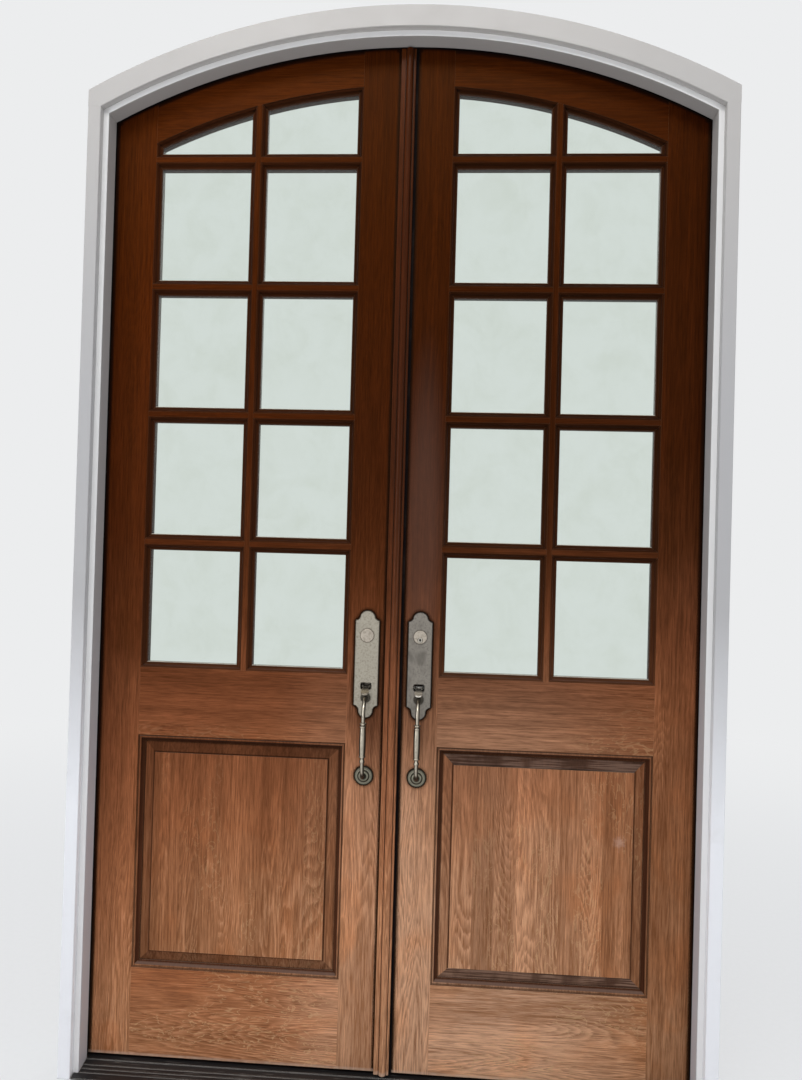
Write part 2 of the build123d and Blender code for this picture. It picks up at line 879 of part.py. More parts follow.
with BuildPart() as edge_plates:
    for z, size in square_bolts:
        add(edge_plate(z, edge_plate_height, edge_plate_width))
        add(bolt_space(size, z, strike_play, (0, plate_back)), mode=Mode.SUBTRACT)
    for tab_z, direction in flush_tabs:
        add(edge_plate(tab_z + direction * flush_bolt_throw / 2, flush_plate_height, flush_plate_width))
        add(flush_slot(tab_z, direction), mode=Mode.SUBTRACT)
write(mirrored(edge_plates.part), "edge_plates")

with BuildPart() as bolted_lock_stile:
    add(plain_lock_stile.part)
    add(cross_bores(), mode=Mode.SUBTRACT)
    for (z, size), throw in zip(square_bolts, (latch_throw, dead_throw)):
        add(edge_plate(z, edge_plate_height, edge_plate_width, edge_face), mode=Mode.SUBTRACT)
        pocket = throw - bolt_nose + strike_depth
        add(bolt_space(size, z, strike_play, (0, pocket)), mode=Mode.SUBTRACT)
    for rod, (tab_z, direction) in zip(flush_rods, flush_tabs):
        plate_z = tab_z + direction * flush_bolt_throw / 2
        add(edge_plate(plate_z, flush_plate_height, flush_plate_width, edge_face), mode=Mode.SUBTRACT)
        add(flush_slot(tab_z, direction), mode=Mode.SUBTRACT)
        bore = (rod[0] - flush_bolt_setback, rod[1] + 2 * flush_bolt_setback)
        rod_along_z(flush_bolt_radius + flush_bolt_play, flush_x, leaf_middle, bore, mode=Mode.SUBTRACT)
write(mirrored(bolted_lock_stile.part), "left_lock_stile")

for rod, (tab_z, direction) in zip(flush_rods, flush_tabs):
    with BuildPart() as flush_bolt:
        rod_along_z(flush_bolt_radius, flush_x, leaf_middle, rod)
        block(
            (edge_face + bolt_setback, flush_x),
            (leaf_middle - flush_tab_width / 2, leaf_middle + flush_tab_width / 2),
            (tab_z - flush_tab_height / 2, tab_z + flush_tab_height / 2),
        )
        chamfer(flush_bolt.faces().sort_by(Axis.Z)[-1 if direction > 0 else 0].edges(), length=flush_bolt_edge)
    write(mirrored(flush_bolt.part), "top_bolt" if direction > 0 else "bottom_bolt")

with BuildPart() as bolt_keepers:
    for z in (arch_height(rabbet_radius, 0), sill_height - keeper_thickness):
        block(
            (flush_x - keeper_length / 2, flush_x + keeper_length / 2),
            (leaf_middle - keeper_width / 2, leaf_middle + keeper_width / 2),
            (z, z + keeper_thickness),
        )
    rod_along_z(
        flush_bolt_radius + keeper_play, flush_x, leaf_middle, (0, leaf_top + jamb_thickness), mode=Mode.SUBTRACT
    )
write(mirrored(bolt_keepers.part), "bolt_keepers")

with BuildPart() as keeper_pockets:
    top = arch_height(rabbet_radius, 0) + keeper_thickness
    side = (flush_x - keeper_length / 2, flush_x + keeper_length / 2)
    depth = (leaf_middle - keeper_width / 2, leaf_middle + keeper_width / 2)
    block(side, depth, (sill_height - keeper_thickness, top))
    rod_along_z(
        flush_bolt_radius + socket_play,
        flush_x,
        leaf_middle,
        (bottom_rod[0] - flush_bolt_throw - socket_depth, top_rod[1] + flush_bolt_throw + socket_depth),
    )
left_pockets = mirrored(keeper_pockets.part)

right_sweep = door_sweep()
write(right_sweep, "right_door_sweep")
with BuildPart() as left_door_sweep:
    add(mirrored(right_sweep))
    rod_along_z(
        flush_bolt_radius + keeper_play, -flush_x, leaf_middle, (sill_height, leaf_bottom), mode=Mode.SUBTRACT
    )
write(left_door_sweep.part, "left_door_sweep")

# Astragal: the section seen from above, then the ends cut square below and to the arch above
astragal_relief = astragal_seal_thickness + soft_gap
astragal_top_radius = stop_radius - seal_overhang - astragal_head_gap
astragal_bottom = leaf_bottom - astragal_bottom_drop


def astragal_ends():
    """Keeps what lies below the arched head of the frame."""
    arch_disc(astragal_top_radius)


with BuildPart() as astragal:
    with BuildSketch(Plane.XY.offset(astragal_bottom)):
        left = astragal_bead_centre - astragal_bead_radius
        right = astragal_bead_centre + astragal_bead_radius
        margin = leaf_front - astragal_margin_thickness
        quirk = margin + astragal_quirk_depth
        with BuildLine():
            Polyline(
                (left, quirk),
                (left - astragal_quirk_width, quirk),
                (left - astragal_quirk_width, margin),
                (casing_ease - astragal_left, margin),
                (-astragal_left, margin + casing_ease),
                (-astragal_left, leaf_front),
                (0, leaf_front),
                (0, leaf_front - astragal_relief),
                (astragal_right, leaf_front - astragal_relief),
                (astragal_right, margin + casing_ease),
                (astragal_right - casing_ease, margin),
                (right + astragal_quirk_width, margin),
                (right + astragal_quirk_width, quirk),
                (right, quirk),
            )
            ThreePointArc((left, quirk), (astragal_bead_centre, quirk - astragal_bead_radius), (right, quirk))
        make_face()
    extrude(amount=leaf_height)
    astragal_ends()
write(astragal.part, "astragal")

with BuildPart() as astragal_seal:
    block(
        (
            astragal_right + astragal_seal_overhang - astragal_seal_width,
            astragal_right + astragal_seal_overhang,
        ),
        (leaf_front - astragal_relief, leaf_front - soft_gap),
        (astragal_bottom, leaf_top),
    )
    astragal_ends()
write(astragal_seal.part, "astragal_seal")


def plate_outline(y):
    """Handle plate: domed top and bottom between hollow corners."""
    top = latch_z + plate_shoulder_above_latch
    bottom = latch_z - plate_foot_below_latch
    wide = plate_width / 2
    narrow = wide - plate_corner_radius
    hollow = plate_corner_radius * math.sqrt(0.5)
    with BuildSketch(elevation(y)) as outline:
        with Locations((lock_x, 0)):
            with BuildLine():
                Line((wide, bottom), (wide, top))
                ThreePointArc(
                    (wide, top),
                    (wide - hollow, top + plate_corner_radius - hollow),
                    (narrow, top + plate_corner_radius),
                )
                ThreePointArc(
                    (narrow, top + plate_corner_radius),
                    (0, top + plate_corner_radius + plate_dome_rise),
                    (-narrow, top + plate_corner_radius),
                )
                ThreePointArc(
                    (-narrow, top + plate_corner_radius),
                    (hollow - wide, top + plate_corner_radius - hollow),
                    (-wide, top),
                )
                Line((-wide, top), (-wide, bottom))
                ThreePointArc(
                    (-wide, bottom),
                    (hollow - wide, bottom - plate_corner_radius + hollow),
                    (-narrow, bottom - plate_corner_radius),
                )
                ThreePointArc(
                    (-narrow, bottom - plate_corner_radius),
                    (0, bottom - plate_corner_radius - plate_foot_drop),
                    (narrow, bottom - plate_corner_radius),
                )
                ThreePointArc(
                    (narrow, bottom - plate_corner_radius),
                    (wide - hollow, bottom - plate_corner_radius + hollow),
                    (wide, bottom),
                )
            make_face()
    return outline.sketch.moved(Location((lock_x, 0, 0)))


slot_z = latch_z + thumb_slot_above_latch
pivot_y = leaf_front + thumb_pivot_depth
pivot_z = slot_z - thumb_pivot_below_slot
plate_front = leaf_front - plate_thickness
rim_front = plate_front - cylinder_rise
cylinder_end = plate_front + cylinder_neck_length

with BuildPart() as handle_plate:
    extrude(plate_outline(leaf_front), amount=plate_thickness)
    chamfer(handle_plate.faces().sort_by(Axis.Y)[0].outer_wire().edges(), length=plate_bevel)
    hole_radius = cylinder_neck_radius + plate_hole_play
    rod_along_y(hole_radius, lock_x, dead_z, (plate_front, leaf_front), mode=Mode.SUBTRACT)
    with BuildSketch(elevation(leaf_front)):
        with Locations((lock_x, slot_z)):
            RectangleRounded(thumb_slot_width, thumb_slot_height, thumb_slot_corner)
    extrude(amount=plate_thickness, mode=Mode.SUBTRACT)
    for side in (-1, 1):
        inner = lock_x + side * (thumb_neck_width / 2 + thumb_ear_gap)
        outer = inner + side * thumb_ear_thickness
        block(
            (min(inner, outer), max(inner, outer)),
            (leaf_front, leaf_front + thumb_ear_length),
            (pivot_z - thumb_ear_height / 2, pivot_z + thumb_ear_height / 2),
        )
    with Locations(Location((lock_x, pivot_y, pivot_z), (0, 90, 0))):
        Cylinder(thumb_pivot_radius + thumb_pivot_play, plate_width, mode=Mode.SUBTRACT)
write_pair(handle_plate.part, "handle_plate")

with BuildPart() as thumb_piece:
    with BuildSketch(Plane.XY.offset(pivot_z - thumb_reach)):
        with Locations((lock_x, pivot_y - thumb_reach + thumb_width / 2)):
            Circle(thumb_width / 2)
        with Locations((lock_x, pivot_y - thumb_neck_length / 2)):
            Rectangle(thumb_neck_width, thumb_neck_length)
        make_hull()
    extrude(amount=2 * thumb_reach)
    with BuildSketch(Plane.YZ.offset(lock_x)):
        with BuildLine():
            upper = ThreePointArc(
                (pivot_y, pivot_z + thumb_thickness / 2),
                (pivot_y - thumb_reach / 2, pivot_z + thumb_thickness / 2 - thumb_half_drop),
                (pivot_y - thumb_reach, pivot_z + thumb_thickness / 2 - thumb_drop),
            )
            lower = ThreePointArc(
                (pivot_y, pivot_z - thumb_thickness / 2),
                (pivot_y - thumb_reach / 2, pivot_z - thumb_thickness / 2 - thumb_half_drop),
                (pivot_y - thumb_reach, pivot_z - thumb_thickness / 2 - thumb_drop),
            )
            Line(upper @ 0, lower @ 0)
            Line(upper @ 1, lower @ 1)
        make_face()
    extrude(amount=thumb_width / 2, both=True, mode=Mode.INTERSECT)
    with Locations(Location((lock_x, pivot_y, pivot_z), (0, 90, 0))):
        Cylinder(thumb_pivot_radius, thumb_neck_width + 2 * (thumb_ear_gap + thumb_ear_thickness))
write_pair(thumb_piece.part, "thumb_piece")

with BuildPart() as cylinder:
    rod_along_y(cylinder_radius, lock_x, dead_z, (rim_front, plate_front))
    chamfer(cylinder.faces().sort_by(Axis.Y)[0].edges(), length=cylinder_edge)
    rod_along_y(cylinder_neck_radius, lock_x, dead_z, (plate_front, cylinder_end))
write(mirrored(cylinder.part), "left_cylinder_disc")

with BuildPart() as bored_cylinder:
    add(cylinder.part)
    rod_along_y(plug_radius + plug_play, lock_x, plug_z, (rim_front, cylinder_end), mode=Mode.SUBTRACT)
write(bored_cylinder.part, "right_cylinder")

with BuildPart() as key_plug:
    rod_along_y(plug_radius, lock_x, plug_z, (rim_front - plug_rise, cylinder_end))
    block(
        (lock_x - keyhole_width / 2, lock_x + keyhole_width / 2),
        (rim_front - plug_rise, rim_front - plug_rise + keyhole_depth),
        (plug_z - keyhole_height / 2, plug_z + keyhole_height / 2),
        mode=Mode.SUBTRACT,
    )
write(key_plug.part, "key_plug")

grip_y = leaf_front - grip_reach
grip_top = latch_z - grip_top_below_latch
grip_bottom = latch_z - rosette_below_latch
rosette_front = leaf_front - rosette_thickness


def collar_outline(top):
    """Half-round collar from this height down, in radius and height."""
    return ThreePointArc(
        (grip_collar_root, top),
        (grip_collar_radius, top - grip_collar_length / 2),
        (grip_collar_root, top - grip_collar_length),
    )


with BuildPart() as grip:
    with BuildLine(Plane.YZ.offset(lock_x)) as grip_path:
        Line((plate_front, grip_top), (grip_y + grip_bend_radius, grip_top))
        RadiusArc(
            (grip_y + grip_bend_radius, grip_top),
            (grip_y, grip_top - grip_bend_radius),
            -grip_bend_radius,
        )
        Line((grip_y, grip_top - grip_bend_radius), (grip_y, grip_bottom + grip_bend_radius))
        RadiusArc(
            (grip_y, grip_bottom + grip_bend_radius),
            (grip_y + grip_bend_radius, grip_bottom),
            -grip_bend_radius,
        )
        Line((grip_y + grip_bend_radius, grip_bottom), (rosette_front, grip_bottom))
    with BuildSketch(Plane((lock_x, plate_front, grip_top), z_dir=(0, -1, 0))):
        Circle(grip_arm_radius)
    sweep(path=grip_path.wire())
    collar = grip_top - grip_bend_radius - grip_neck_length
    waist = collar - grip_collar_length
    barrel = waist - grip_waist_length - grip_collar_length
    foot = barrel - grip_barrel_length
    with BuildSketch(Plane((lock_x, grip_y, 0), x_dir=(1, 0, 0), z_dir=(0, -1, 0))):
        with BuildLine():
            Polyline((0, collar), (grip_collar_root, collar))
            collar_outline(collar)
            Polyline(
                (grip_collar_root, waist),
                (grip_waist_radius, waist),
                (grip_waist_radius, waist - grip_waist_length),
                (grip_collar_root, waist - grip_waist_length),
            )
            collar_outline(waist - grip_waist_length)
            Line((grip_collar_root, barrel), (grip_barrel_end_radius, barrel))
            ThreePointArc(
                (grip_barrel_end_radius, barrel),
                (grip_barrel_radius, (barrel + foot) / 2),
                (grip_barrel_end_radius, foot),
            )
            Line((grip_barrel_end_radius, foot), (grip_collar_root, foot))
            collar_outline(foot)
            Polyline((grip_collar_root, foot - grip_collar_length), (0, foot - grip_collar_length), (0, collar))
        make_face()
    revolve(axis=Axis((lock_x, grip_y, 0), (0, 0, 1)))
    with Locations((lock_x, grip_y, foot - grip_collar_length - grip_bead_drop)):
        Sphere(grip_bead_radius)
    rod_along_y(grip_boss_radius, lock_x, grip_top, (plate_front - grip_boss_height, plate_front))
    chamfer(
        grip.faces().filter_by(Axis.Y).sort_by(Axis.Y)[0].outer_wire().edges(),
        length=grip_boss_height / 2,
    )
write_pair(grip.part, "grip")

with BuildPart() as rosette:
    with BuildSketch(Plane((lock_x, leaf_front, grip_bottom), x_dir=(1, 0, 0), z_dir=(0, 0, 1))):
        with BuildLine():
            step = (rosette_step_radius, -rosette_rim - rosette_step)
            crown = (rosette_top_radius, -rosette_thickness)
            Polyline(
                (0, 0),
                (rosette_radius, 0),
                (rosette_radius, rosette_edge - rosette_rim),
                (rosette_radius - rosette_edge, -rosette_rim),
                (rosette_step_radius, -rosette_rim),
                step,
            )
            middle = ((step[0] + crown[0]) / 2, (step[1] + crown[1]) / 2)
            hollow = TangentArc(step, middle, tangent=(-1, 0))
            TangentArc(middle, crown, tangent=hollow % 1)
            Polyline(crown, (0, -rosette_thickness), (0, 0))
        make_face()
    revolve(axis=Axis((lock_x, 0, grip_bottom), (0, 1, 0)))
write_pair(rosette.part, "rosette")

inside_plate_back = leaf_back + inside_plate_thickness


def inside_plate(openings):
    """The same plate on the inside face, with a hole for each (radius, height)."""
    with BuildPart() as plate:
        extrude(plate_outline(leaf_back), amount=-inside_plate_thickness)
        chamfer(plate.faces().sort_by(Axis.Y)[-1].outer_wire().edges(), length=plate_bevel)
        for radius, z in openings:
            rod_along_y(radius + spindle_play, lock_x, z, (leaf_back, inside_plate_back), mode=Mode.SUBTRACT)
    return plate.part


lever_hole = (lever_spindle_radius, latch_z)
write(inside_plate([lever_hole, (turn_spindle_radius, dead_z)]), "right_inside_plate")
write(mirrored(inside_plate([lever_hole])), "left_inside_plate")

with BuildPart() as inside_lever:
    rod_along_y(lever_spindle_radius, lock_x, latch_z, (leaf_back - spindle_inner_length, inside_plate_back))
    rod_along_y(lever_hub_radius, lock_x, latch_z, (inside_plate_back, inside_plate_back + lever_hub_height))
    chamfer(inside_lever.faces().sort_by(Axis.Y)[-1].edges(), length=lever_hub_edge)
    lever_y = leaf_back + lever_projection - lever_radius
    with BuildLine(Plane.XY.offset(latch_z)) as lever_path:
        Line((lock_x, inside_plate_back + lever_hub_height / 2), (lock_x, lever_y - lever_bend_radius))
        RadiusArc((lock_x, lever_y - lever_bend_radius), (lock_x + lever_bend_radius, lever_y), lever_bend_radius)
        Line((lock_x + lever_bend_radius, lever_y), (lock_x + lever_length, lever_y))
    with BuildSketch(Plane((lock_x, inside_plate_back + lever_hub_height / 2, latch_z), z_dir=(0, 1, 0))):
        Circle(lever_radius)
    sweep(path=lever_path.wire())
    with Locations((lock_x + lever_length, lever_y, latch_z)):
        Sphere(lever_radius)
write_pair(inside_lever.part, "inside_lever")

with BuildPart() as thumb_turn:
    rod_along_y(turn_spindle_radius, lock_x, dead_z, (leaf_back - spindle_inner_length, inside_plate_back))
    rod_along_y(turn_collar_radius, lock_x, dead_z, (inside_plate_back, inside_plate_back + turn_collar_height))
    with BuildSketch(elevation(inside_plate_back + turn_collar_height)):
        with Locations((lock_x, dead_z)):
            SlotOverall(turn_length, turn_width, rotation=90)
    extrude(amount=-turn_height)
    chamfer(thumb_turn.faces().sort_by(Axis.Y)[-1].edges(), length=turn_edge)
write(thumb_turn.part, "thumb_turn")

# Frame: the same section runs up the jambs and round the head, in depth and distance from the doorway
leg_section_plane = Plane((stop_x, 0, leaf_top), x_dir=(0, 1, 0), z_dir=(0, 0, -1))
head_tilt = math.radians(arch_half_angle)
head_section_plane = Plane(
    (-stop_radius * math.sin(head_tilt), 0, arch_centre + stop_radius * math.cos(head_tilt)),
    x_dir=(0, 1, 0),
    z_dir=(math.cos(head_tilt), 0, math.sin(head_tilt)),
)


def jamb_section(plane):
    """Jamb with its stop, rabbet and the kerf that holds the seal."""
    with BuildSketch(plane) as section:
        with BuildLine():
            Polyline(
                (jamb_front + casing_ease, 0),
                (jamb_front, casing_ease),
                (jamb_front, jamb_thickness),
                (leaf_back, jamb_thickness),
                (leaf_back, stop_width),
                (stop_back, stop_width),
                (stop_back, 0),
                close=True,
            )
        make_face()
        with Locations((stop_back - kerf_depth / 2, kerf_inset)):
            Rectangle(kerf_depth, kerf_width, mode=Mode.SUBTRACT)
    return section.sketch


def seal_section(plane):
    """Round-nosed seal between stop and leaf, with the fin that sits in the kerf."""
    body_depth = seal_thickness - soft_gap
    nose = body_depth / 2
    with BuildSketch(plane) as section:
        with Locations((stop_back + nose, nose - seal_overhang)):
            Circle(nose)
        with Locations((stop_back + nose, (nose - seal_overhang + stop_width) / 2)):
            Rectangle(body_depth, stop_width - nose + seal_overhang)
        with Locations((stop_back - (kerf_depth - kerf_play) / 2, kerf_inset)):
            Rectangle(kerf_depth - kerf_play, kerf_width - kerf_play)
    return section.sketch


def frame_leg(section, bottom, joint_gap=0.0):
    """The section run down the right side of the doorway, mitred at the top."""
    with BuildPart() as leg:
        extrude(section(leg_section_plane), amount=leaf_top - bottom)
        split(bisect_by=mitre_plane(1).offset(-joint_gap), keep=Keep.BOTTOM)
    return leg.part


def frame_head(section):
    """The section run round the arch and mitred at both ends."""
    with BuildPart() as head:
        revolve(
            section(head_section_plane),
            axis=Axis((0, 0, arch_centre), (0, 1, 0)),
            revolution_arc=2 * arch_half_angle,
        )
        for side in (1, -1):
            split(bisect_by=mitre_plane(side), keep=Keep.TOP)
    return head.part


with BuildPart() as jamb_leg:
    add(frame_leg(jamb_section, 0))
    for place in hinge_places:
        block(
            (rabbet_x, rabbet_x + hinge_plate_thickness),
            (leaf_back - hinge_plate_width, leaf_back),
            (place - hinge_height / 2, place + hinge_height / 2),
            mode=Mode.SUBTRACT,
        )
write_pair(jamb_leg.part, "jamb")

with BuildPart() as head_jamb:
    add(frame_head(jamb_section))
    add(left_pockets, mode=Mode.SUBTRACT)
write(head_jamb.part, "head_jamb")

with BuildPart() as frame_seals:
    side_seal = frame_leg(seal_section, sill_height, soft_gap)
    add(side_seal)
    add(mirrored(side_seal))
    add(frame_head(seal_section))
write(frame_seals.part, "frame_seals")

casing_foot = arch_height(casing_inner_radius, casing_inner)

with BuildPart() as casing_post:
    block((casing_inner, jamb_outer), (casing_front, jamb_front), (0, casing_foot))
    chamfer(casing_post.edges().filter_by(Axis.Z).group_by(Axis.Y)[0], length=casing_ease)
write_pair(casing_post.part, "casing")

with BuildPart() as head_casing:
    add(
        arch_revolve(
            [
                (jamb_front, casing_inner_radius),
                (casing_front + casing_ease, casing_inner_radius),
                (casing_front, casing_inner_radius + casing_ease),
                (casing_front, casing_outer_radius - casing_ease),
                (casing_front + casing_ease, casing_outer_radius),
                (jamb_front, casing_outer_radius),
            ],
            -arch_half_angle,
            2 * arch_half_angle,
        )
    )
    block(
        (-jamb_outer, jamb_outer),
        (casing_front, jamb_front),
        (casing_foot, casing_foot + casing_outer_radius),
        mode=Mode.INTERSECT,
    )
write(head_casing.part, "head_casing")

with BuildPart() as threshold:
    slope_start = (casing_front + sill_nose_width, sill_nose_height + sill_nose_rise)
    slope_end = (leaf_front - sill_riser_setback, sill_height - sill_riser)
    with BuildSketch(Plane.YZ.offset(-rabbet_x)):
        with BuildLine():
            Polyline(
                (casing_front, 0),
                (casing_front, sill_nose_height),
                slope_start,
                slope_end,
                (leaf_front - sill_riser_setback, sill_height),
                (leaf_back, sill_height),
                (leaf_back + sill_back_length, sill_back_height),
                (leaf_back + sill_back_length, 0),
                close=True,
            )
        make_face()
    extrude(amount=2 * rabbet_x)
    slope = math.degrees(math.atan2(slope_end[1] - slope_start[1], slope_end[0] - slope_start[0]))
    with BuildSketch(Plane.YZ.offset(-rabbet_x)):
        for ridge in range(sill_ridge_count):
            y = slope_start[0] + (ridge + 1) * sill_ridge_pitch
            z = slope_start[1] + (y - slope_start[0]) * math.tan(math.radians(slope))
            with Locations((y, z)):
                Rectangle(sill_ridge_width, 2 * sill_ridge_height, rotation=slope)
    extrude(amount=2 * rabbet_x)
    add(jamb_leg.part, mode=Mode.SUBTRACT)
    mirror(jamb_leg.part, about=Plane.YZ, mode=Mode.SUBTRACT)
    add(left_pockets, mode=Mode.SUBTRACT)
write(threshold.part, "threshold")
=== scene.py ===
"""Looks of the arched double entry door: stained oak leaves in a white frame, with aged nickel handle sets.

Lengths are metres in the frame of the solids: X across the doorway, -Y outwards and +Z up.
"""

import json
import math
from functools import cached_property

import bmesh
import bpy
from mathutils import Matrix, Vector


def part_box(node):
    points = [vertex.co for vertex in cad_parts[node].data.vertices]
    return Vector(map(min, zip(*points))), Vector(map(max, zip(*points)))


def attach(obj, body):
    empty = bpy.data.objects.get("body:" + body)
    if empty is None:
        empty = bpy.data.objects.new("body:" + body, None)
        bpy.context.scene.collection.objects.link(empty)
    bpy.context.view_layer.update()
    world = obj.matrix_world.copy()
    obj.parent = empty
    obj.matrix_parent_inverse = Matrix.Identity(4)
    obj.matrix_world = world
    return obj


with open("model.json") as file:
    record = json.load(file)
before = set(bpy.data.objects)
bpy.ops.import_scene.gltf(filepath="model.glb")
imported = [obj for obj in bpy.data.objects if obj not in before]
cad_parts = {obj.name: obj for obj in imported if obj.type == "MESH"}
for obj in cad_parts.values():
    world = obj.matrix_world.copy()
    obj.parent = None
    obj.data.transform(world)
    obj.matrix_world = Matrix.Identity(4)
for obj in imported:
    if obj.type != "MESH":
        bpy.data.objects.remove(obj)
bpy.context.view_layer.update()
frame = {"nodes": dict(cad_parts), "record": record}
parts = frame["nodes"]


def low_end(name, axis):
    """Where a piece begins along an axis."""
    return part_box(name)[0]["XYZ".index(axis)]


def high_end(name, axis):
    """Where a piece ends along an axis."""
    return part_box(name)[1]["XYZ".index(axis)]


def centre(name, axis):
    """Half way between the two ends of a piece along an axis."""
    return (low_end(name, axis) + high_end(name, axis)) / 2


# Places read from the frame
leaf_front = low_end("right_hinge_stile", "Y")
leaf_back = high_end("right_hinge_stile", "Y")
leaf_centre = centre("right_hinge_stile", "Y")
leaf_bottom = low_end("right_bottom_rail", "Z")
leaf_top = high_end("left_lock_stile", "Z")
hinge_edge = high_end("right_hinge_stile", "X")
hinge_stile_inside = low_end("right_hinge_stile", "X")
lock_stile_outside = high_end("right_lock_stile", "X")
lock_rail_foot = low_end("right_lock_rail", "Z")
astragal_edge = -low_end("astragal", "X")
jamb_front = low_end("right_jamb", "Y")
plate_front = low_end("right_handle_plate", "Y")
handle_centre = centre("right_handle_plate", "X")
handle_foot = low_end("right_rosette", "Z")
handle_head = high_end("right_handle_plate", "Z")
rosette_centre = centre("right_rosette", "Z")
rosette_radius = (high_end("right_rosette", "Z") - low_end("right_rosette", "Z")) / 2
keyway_x, keyway_z = centre("key_plug", "X"), centre("key_plug", "Z")

# Depths of the wood sections behind the outside face, and how far a change of tone at one of them runs
flat_depth = 0.0008
sticking_depth = 0.0135
field_depth = 0.0026
quirk_depth = 0.0052
arris_fade = 0.0008
quirk_fade = 0.0014

# Zones of the door, each from where an effect begins to where it is full, as shares of the door's height
bleached_heights = (0.448, 0.197)
shaded_heights = (0.394, 0.574)
lower_rail_heights = (0.251, 0.143)

# Zones across the door, as shares of a leaf's width, which are below 0 on the left leaf
whole_width = (-0.859, 0.859)
beside_left_hinges = (-0.921, -0.737)
bleached_right = (0.958, 0.368)
bleached_left = (-0.430, -0.123)
shaded_width = (-0.737, -0.123)

# Zones at the middle of the door, in metres across it
right_of_middle = (-0.01, 0.01)
left_of_middle = (0.01, -0.01)


def srgb(red, green, blue):
    """Linear colour from 0-255 screen values."""
    channels = [value / 255 for value in (red, green, blue)]
    linear = [c / 12.92 if c <= 0.04045 else ((c + 0.055) / 1.055) ** 2.4 for c in channels]
    return (*linear, 1.0)


class Graph:
    """Adds nodes to one tree and links them."""

    def __init__(self, tree):
        self.tree = tree

    def add(self, kind, inputs=None, **settings):
        node = self.tree.nodes.new(kind)
        for name, value in settings.items():
            setattr(node, name, value)
        self.feed_all(node, inputs or {})
        return node

    def feed(self, socket, value):
        if isinstance(value, bpy.types.NodeSocket):
            self.tree.links.new(value, socket)
        else:
            socket.default_value = value

    def feed_all(self, node, inputs):
        for name, value in inputs.items():
            self.feed(node.inputs[name], value)

    def use(self, group, **inputs):
        """Outputs of a node group placed in this tree with its own values."""
        return self.add("ShaderNodeGroup", inputs, node_tree=group).outputs

    def math(self, operation, *values, clamp=False):
        node = self.add("ShaderNodeMath", operation=operation, use_clamp=clamp)
        for socket, value in zip(node.inputs, values):
            self.feed(socket, value)
        return node.outputs[0]

    def chain(self, operation, values):
        result, *others = values
        for other in others:
            result = self.math(operation, result, other)
        return result

    def times(self, *values):
        return self.chain("MULTIPLY", values)

    def plus(self, *values):
        return self.chain("ADD", values)

    def most(self, *values):
        return self.chain("MAXIMUM", values)

    def apart(self, value, place):
        """How far a value is from a place, without its sign."""
        return self.math("ABSOLUTE", self.math("SUBTRACT", value, place))

    def step(self, value, start, full, out_start=0.0, out_full=1.0):
        """Smooth change of a value between two limits."""
        node = self.add("ShaderNodeMapRange", interpolation_type="SMOOTHSTEP")
        for socket, setting in zip(node.inputs, (value, start, full, out_start, out_full)):
            self.feed(socket, setting)
        return node.outputs[0]

    def within(self, value, start, end, soft):
        """1 between two limits and 0 beyond them, with a soft change inside each."""
        return self.times(self.step(value, start, start + soft), self.step(value, end - soft, end, 1.0, 0.0))

    def vector(self, operation, *values):
        node = self.add("ShaderNodeVectorMath", operation=operation)
        for socket, value in zip(node.inputs, values):
            self.feed(socket, value)
        return node.outputs

    def scaled(self, vector, factors):
        return self.vector("MULTIPLY", vector, factors)["Vector"]

    def drawn_out(self, place, share):
        """A place for marks that are long along Z, the longer the smaller the share."""
        return self.scaled(place, (1.0, 1.0, share))

    def distance(self, place, x, z, squeeze):
        """Distance from a point in the plane of the doorway, with its heights squeezed."""
        flattened = self.scaled(place, (1.0, 0.0, squeeze))
        return self.vector("DISTANCE", flattened, (x, 0.0, z * squeeze))["Value"]

    def mix(self, factor, a, b):
        """Colour between two colours, which are inputs 6 and 7 of the node."""
        node = self.add("ShaderNodeMix", data_type="RGBA", clamp_factor=True)
        for index, value in ((0, factor), (6, a), (7, b)):
            self.feed(node.inputs[index], value)
        return node.outputs[2]

    def lit(self, colour, lightness):
        """A colour made lighter or darker by a factor."""
        node = self.add("ShaderNodeVectorMath", {"Vector": colour, "Scale": lightness}, operation="SCALE")
        return node.outputs["Vector"]

    def noise(self, vector, scale, detail=2.0, roughness=0.5, distortion=0.0):
        settings = {"Scale": scale, "Detail": detail, "Roughness": roughness, "Distortion": distortion}
        return self.add("ShaderNodeTexNoise", {"Vector": vector, **settings}).outputs[0]

    def ramp(self, value, stops):
        """Colour ramp through (position, colour) stops."""
        node = self.add("ShaderNodeValToRGB", {"Fac": value})
        elements = node.color_ramp.elements
        while len(elements) < len(stops):
            elements.new(0.5)
        for element, (position, colour) in zip(elements, stops):
            element.position = position
            element.color = colour
        return node.outputs[0]

    def seen_straight(self):
        """1 for rays that come from the camera, a reflection or through glass, and 0 for the rest."""
        path = self.add("ShaderNodeLightPath").outputs
        return self.most(path["Is Camera Ray"], path["Is Transmission Ray"], path["Is Glossy Ray"])


def empty_material(name):
    """A new material without nodes."""
    material = bpy.data.materials.new(name)
    material.use_nodes = True
    material.node_tree.nodes.clear()
    return material


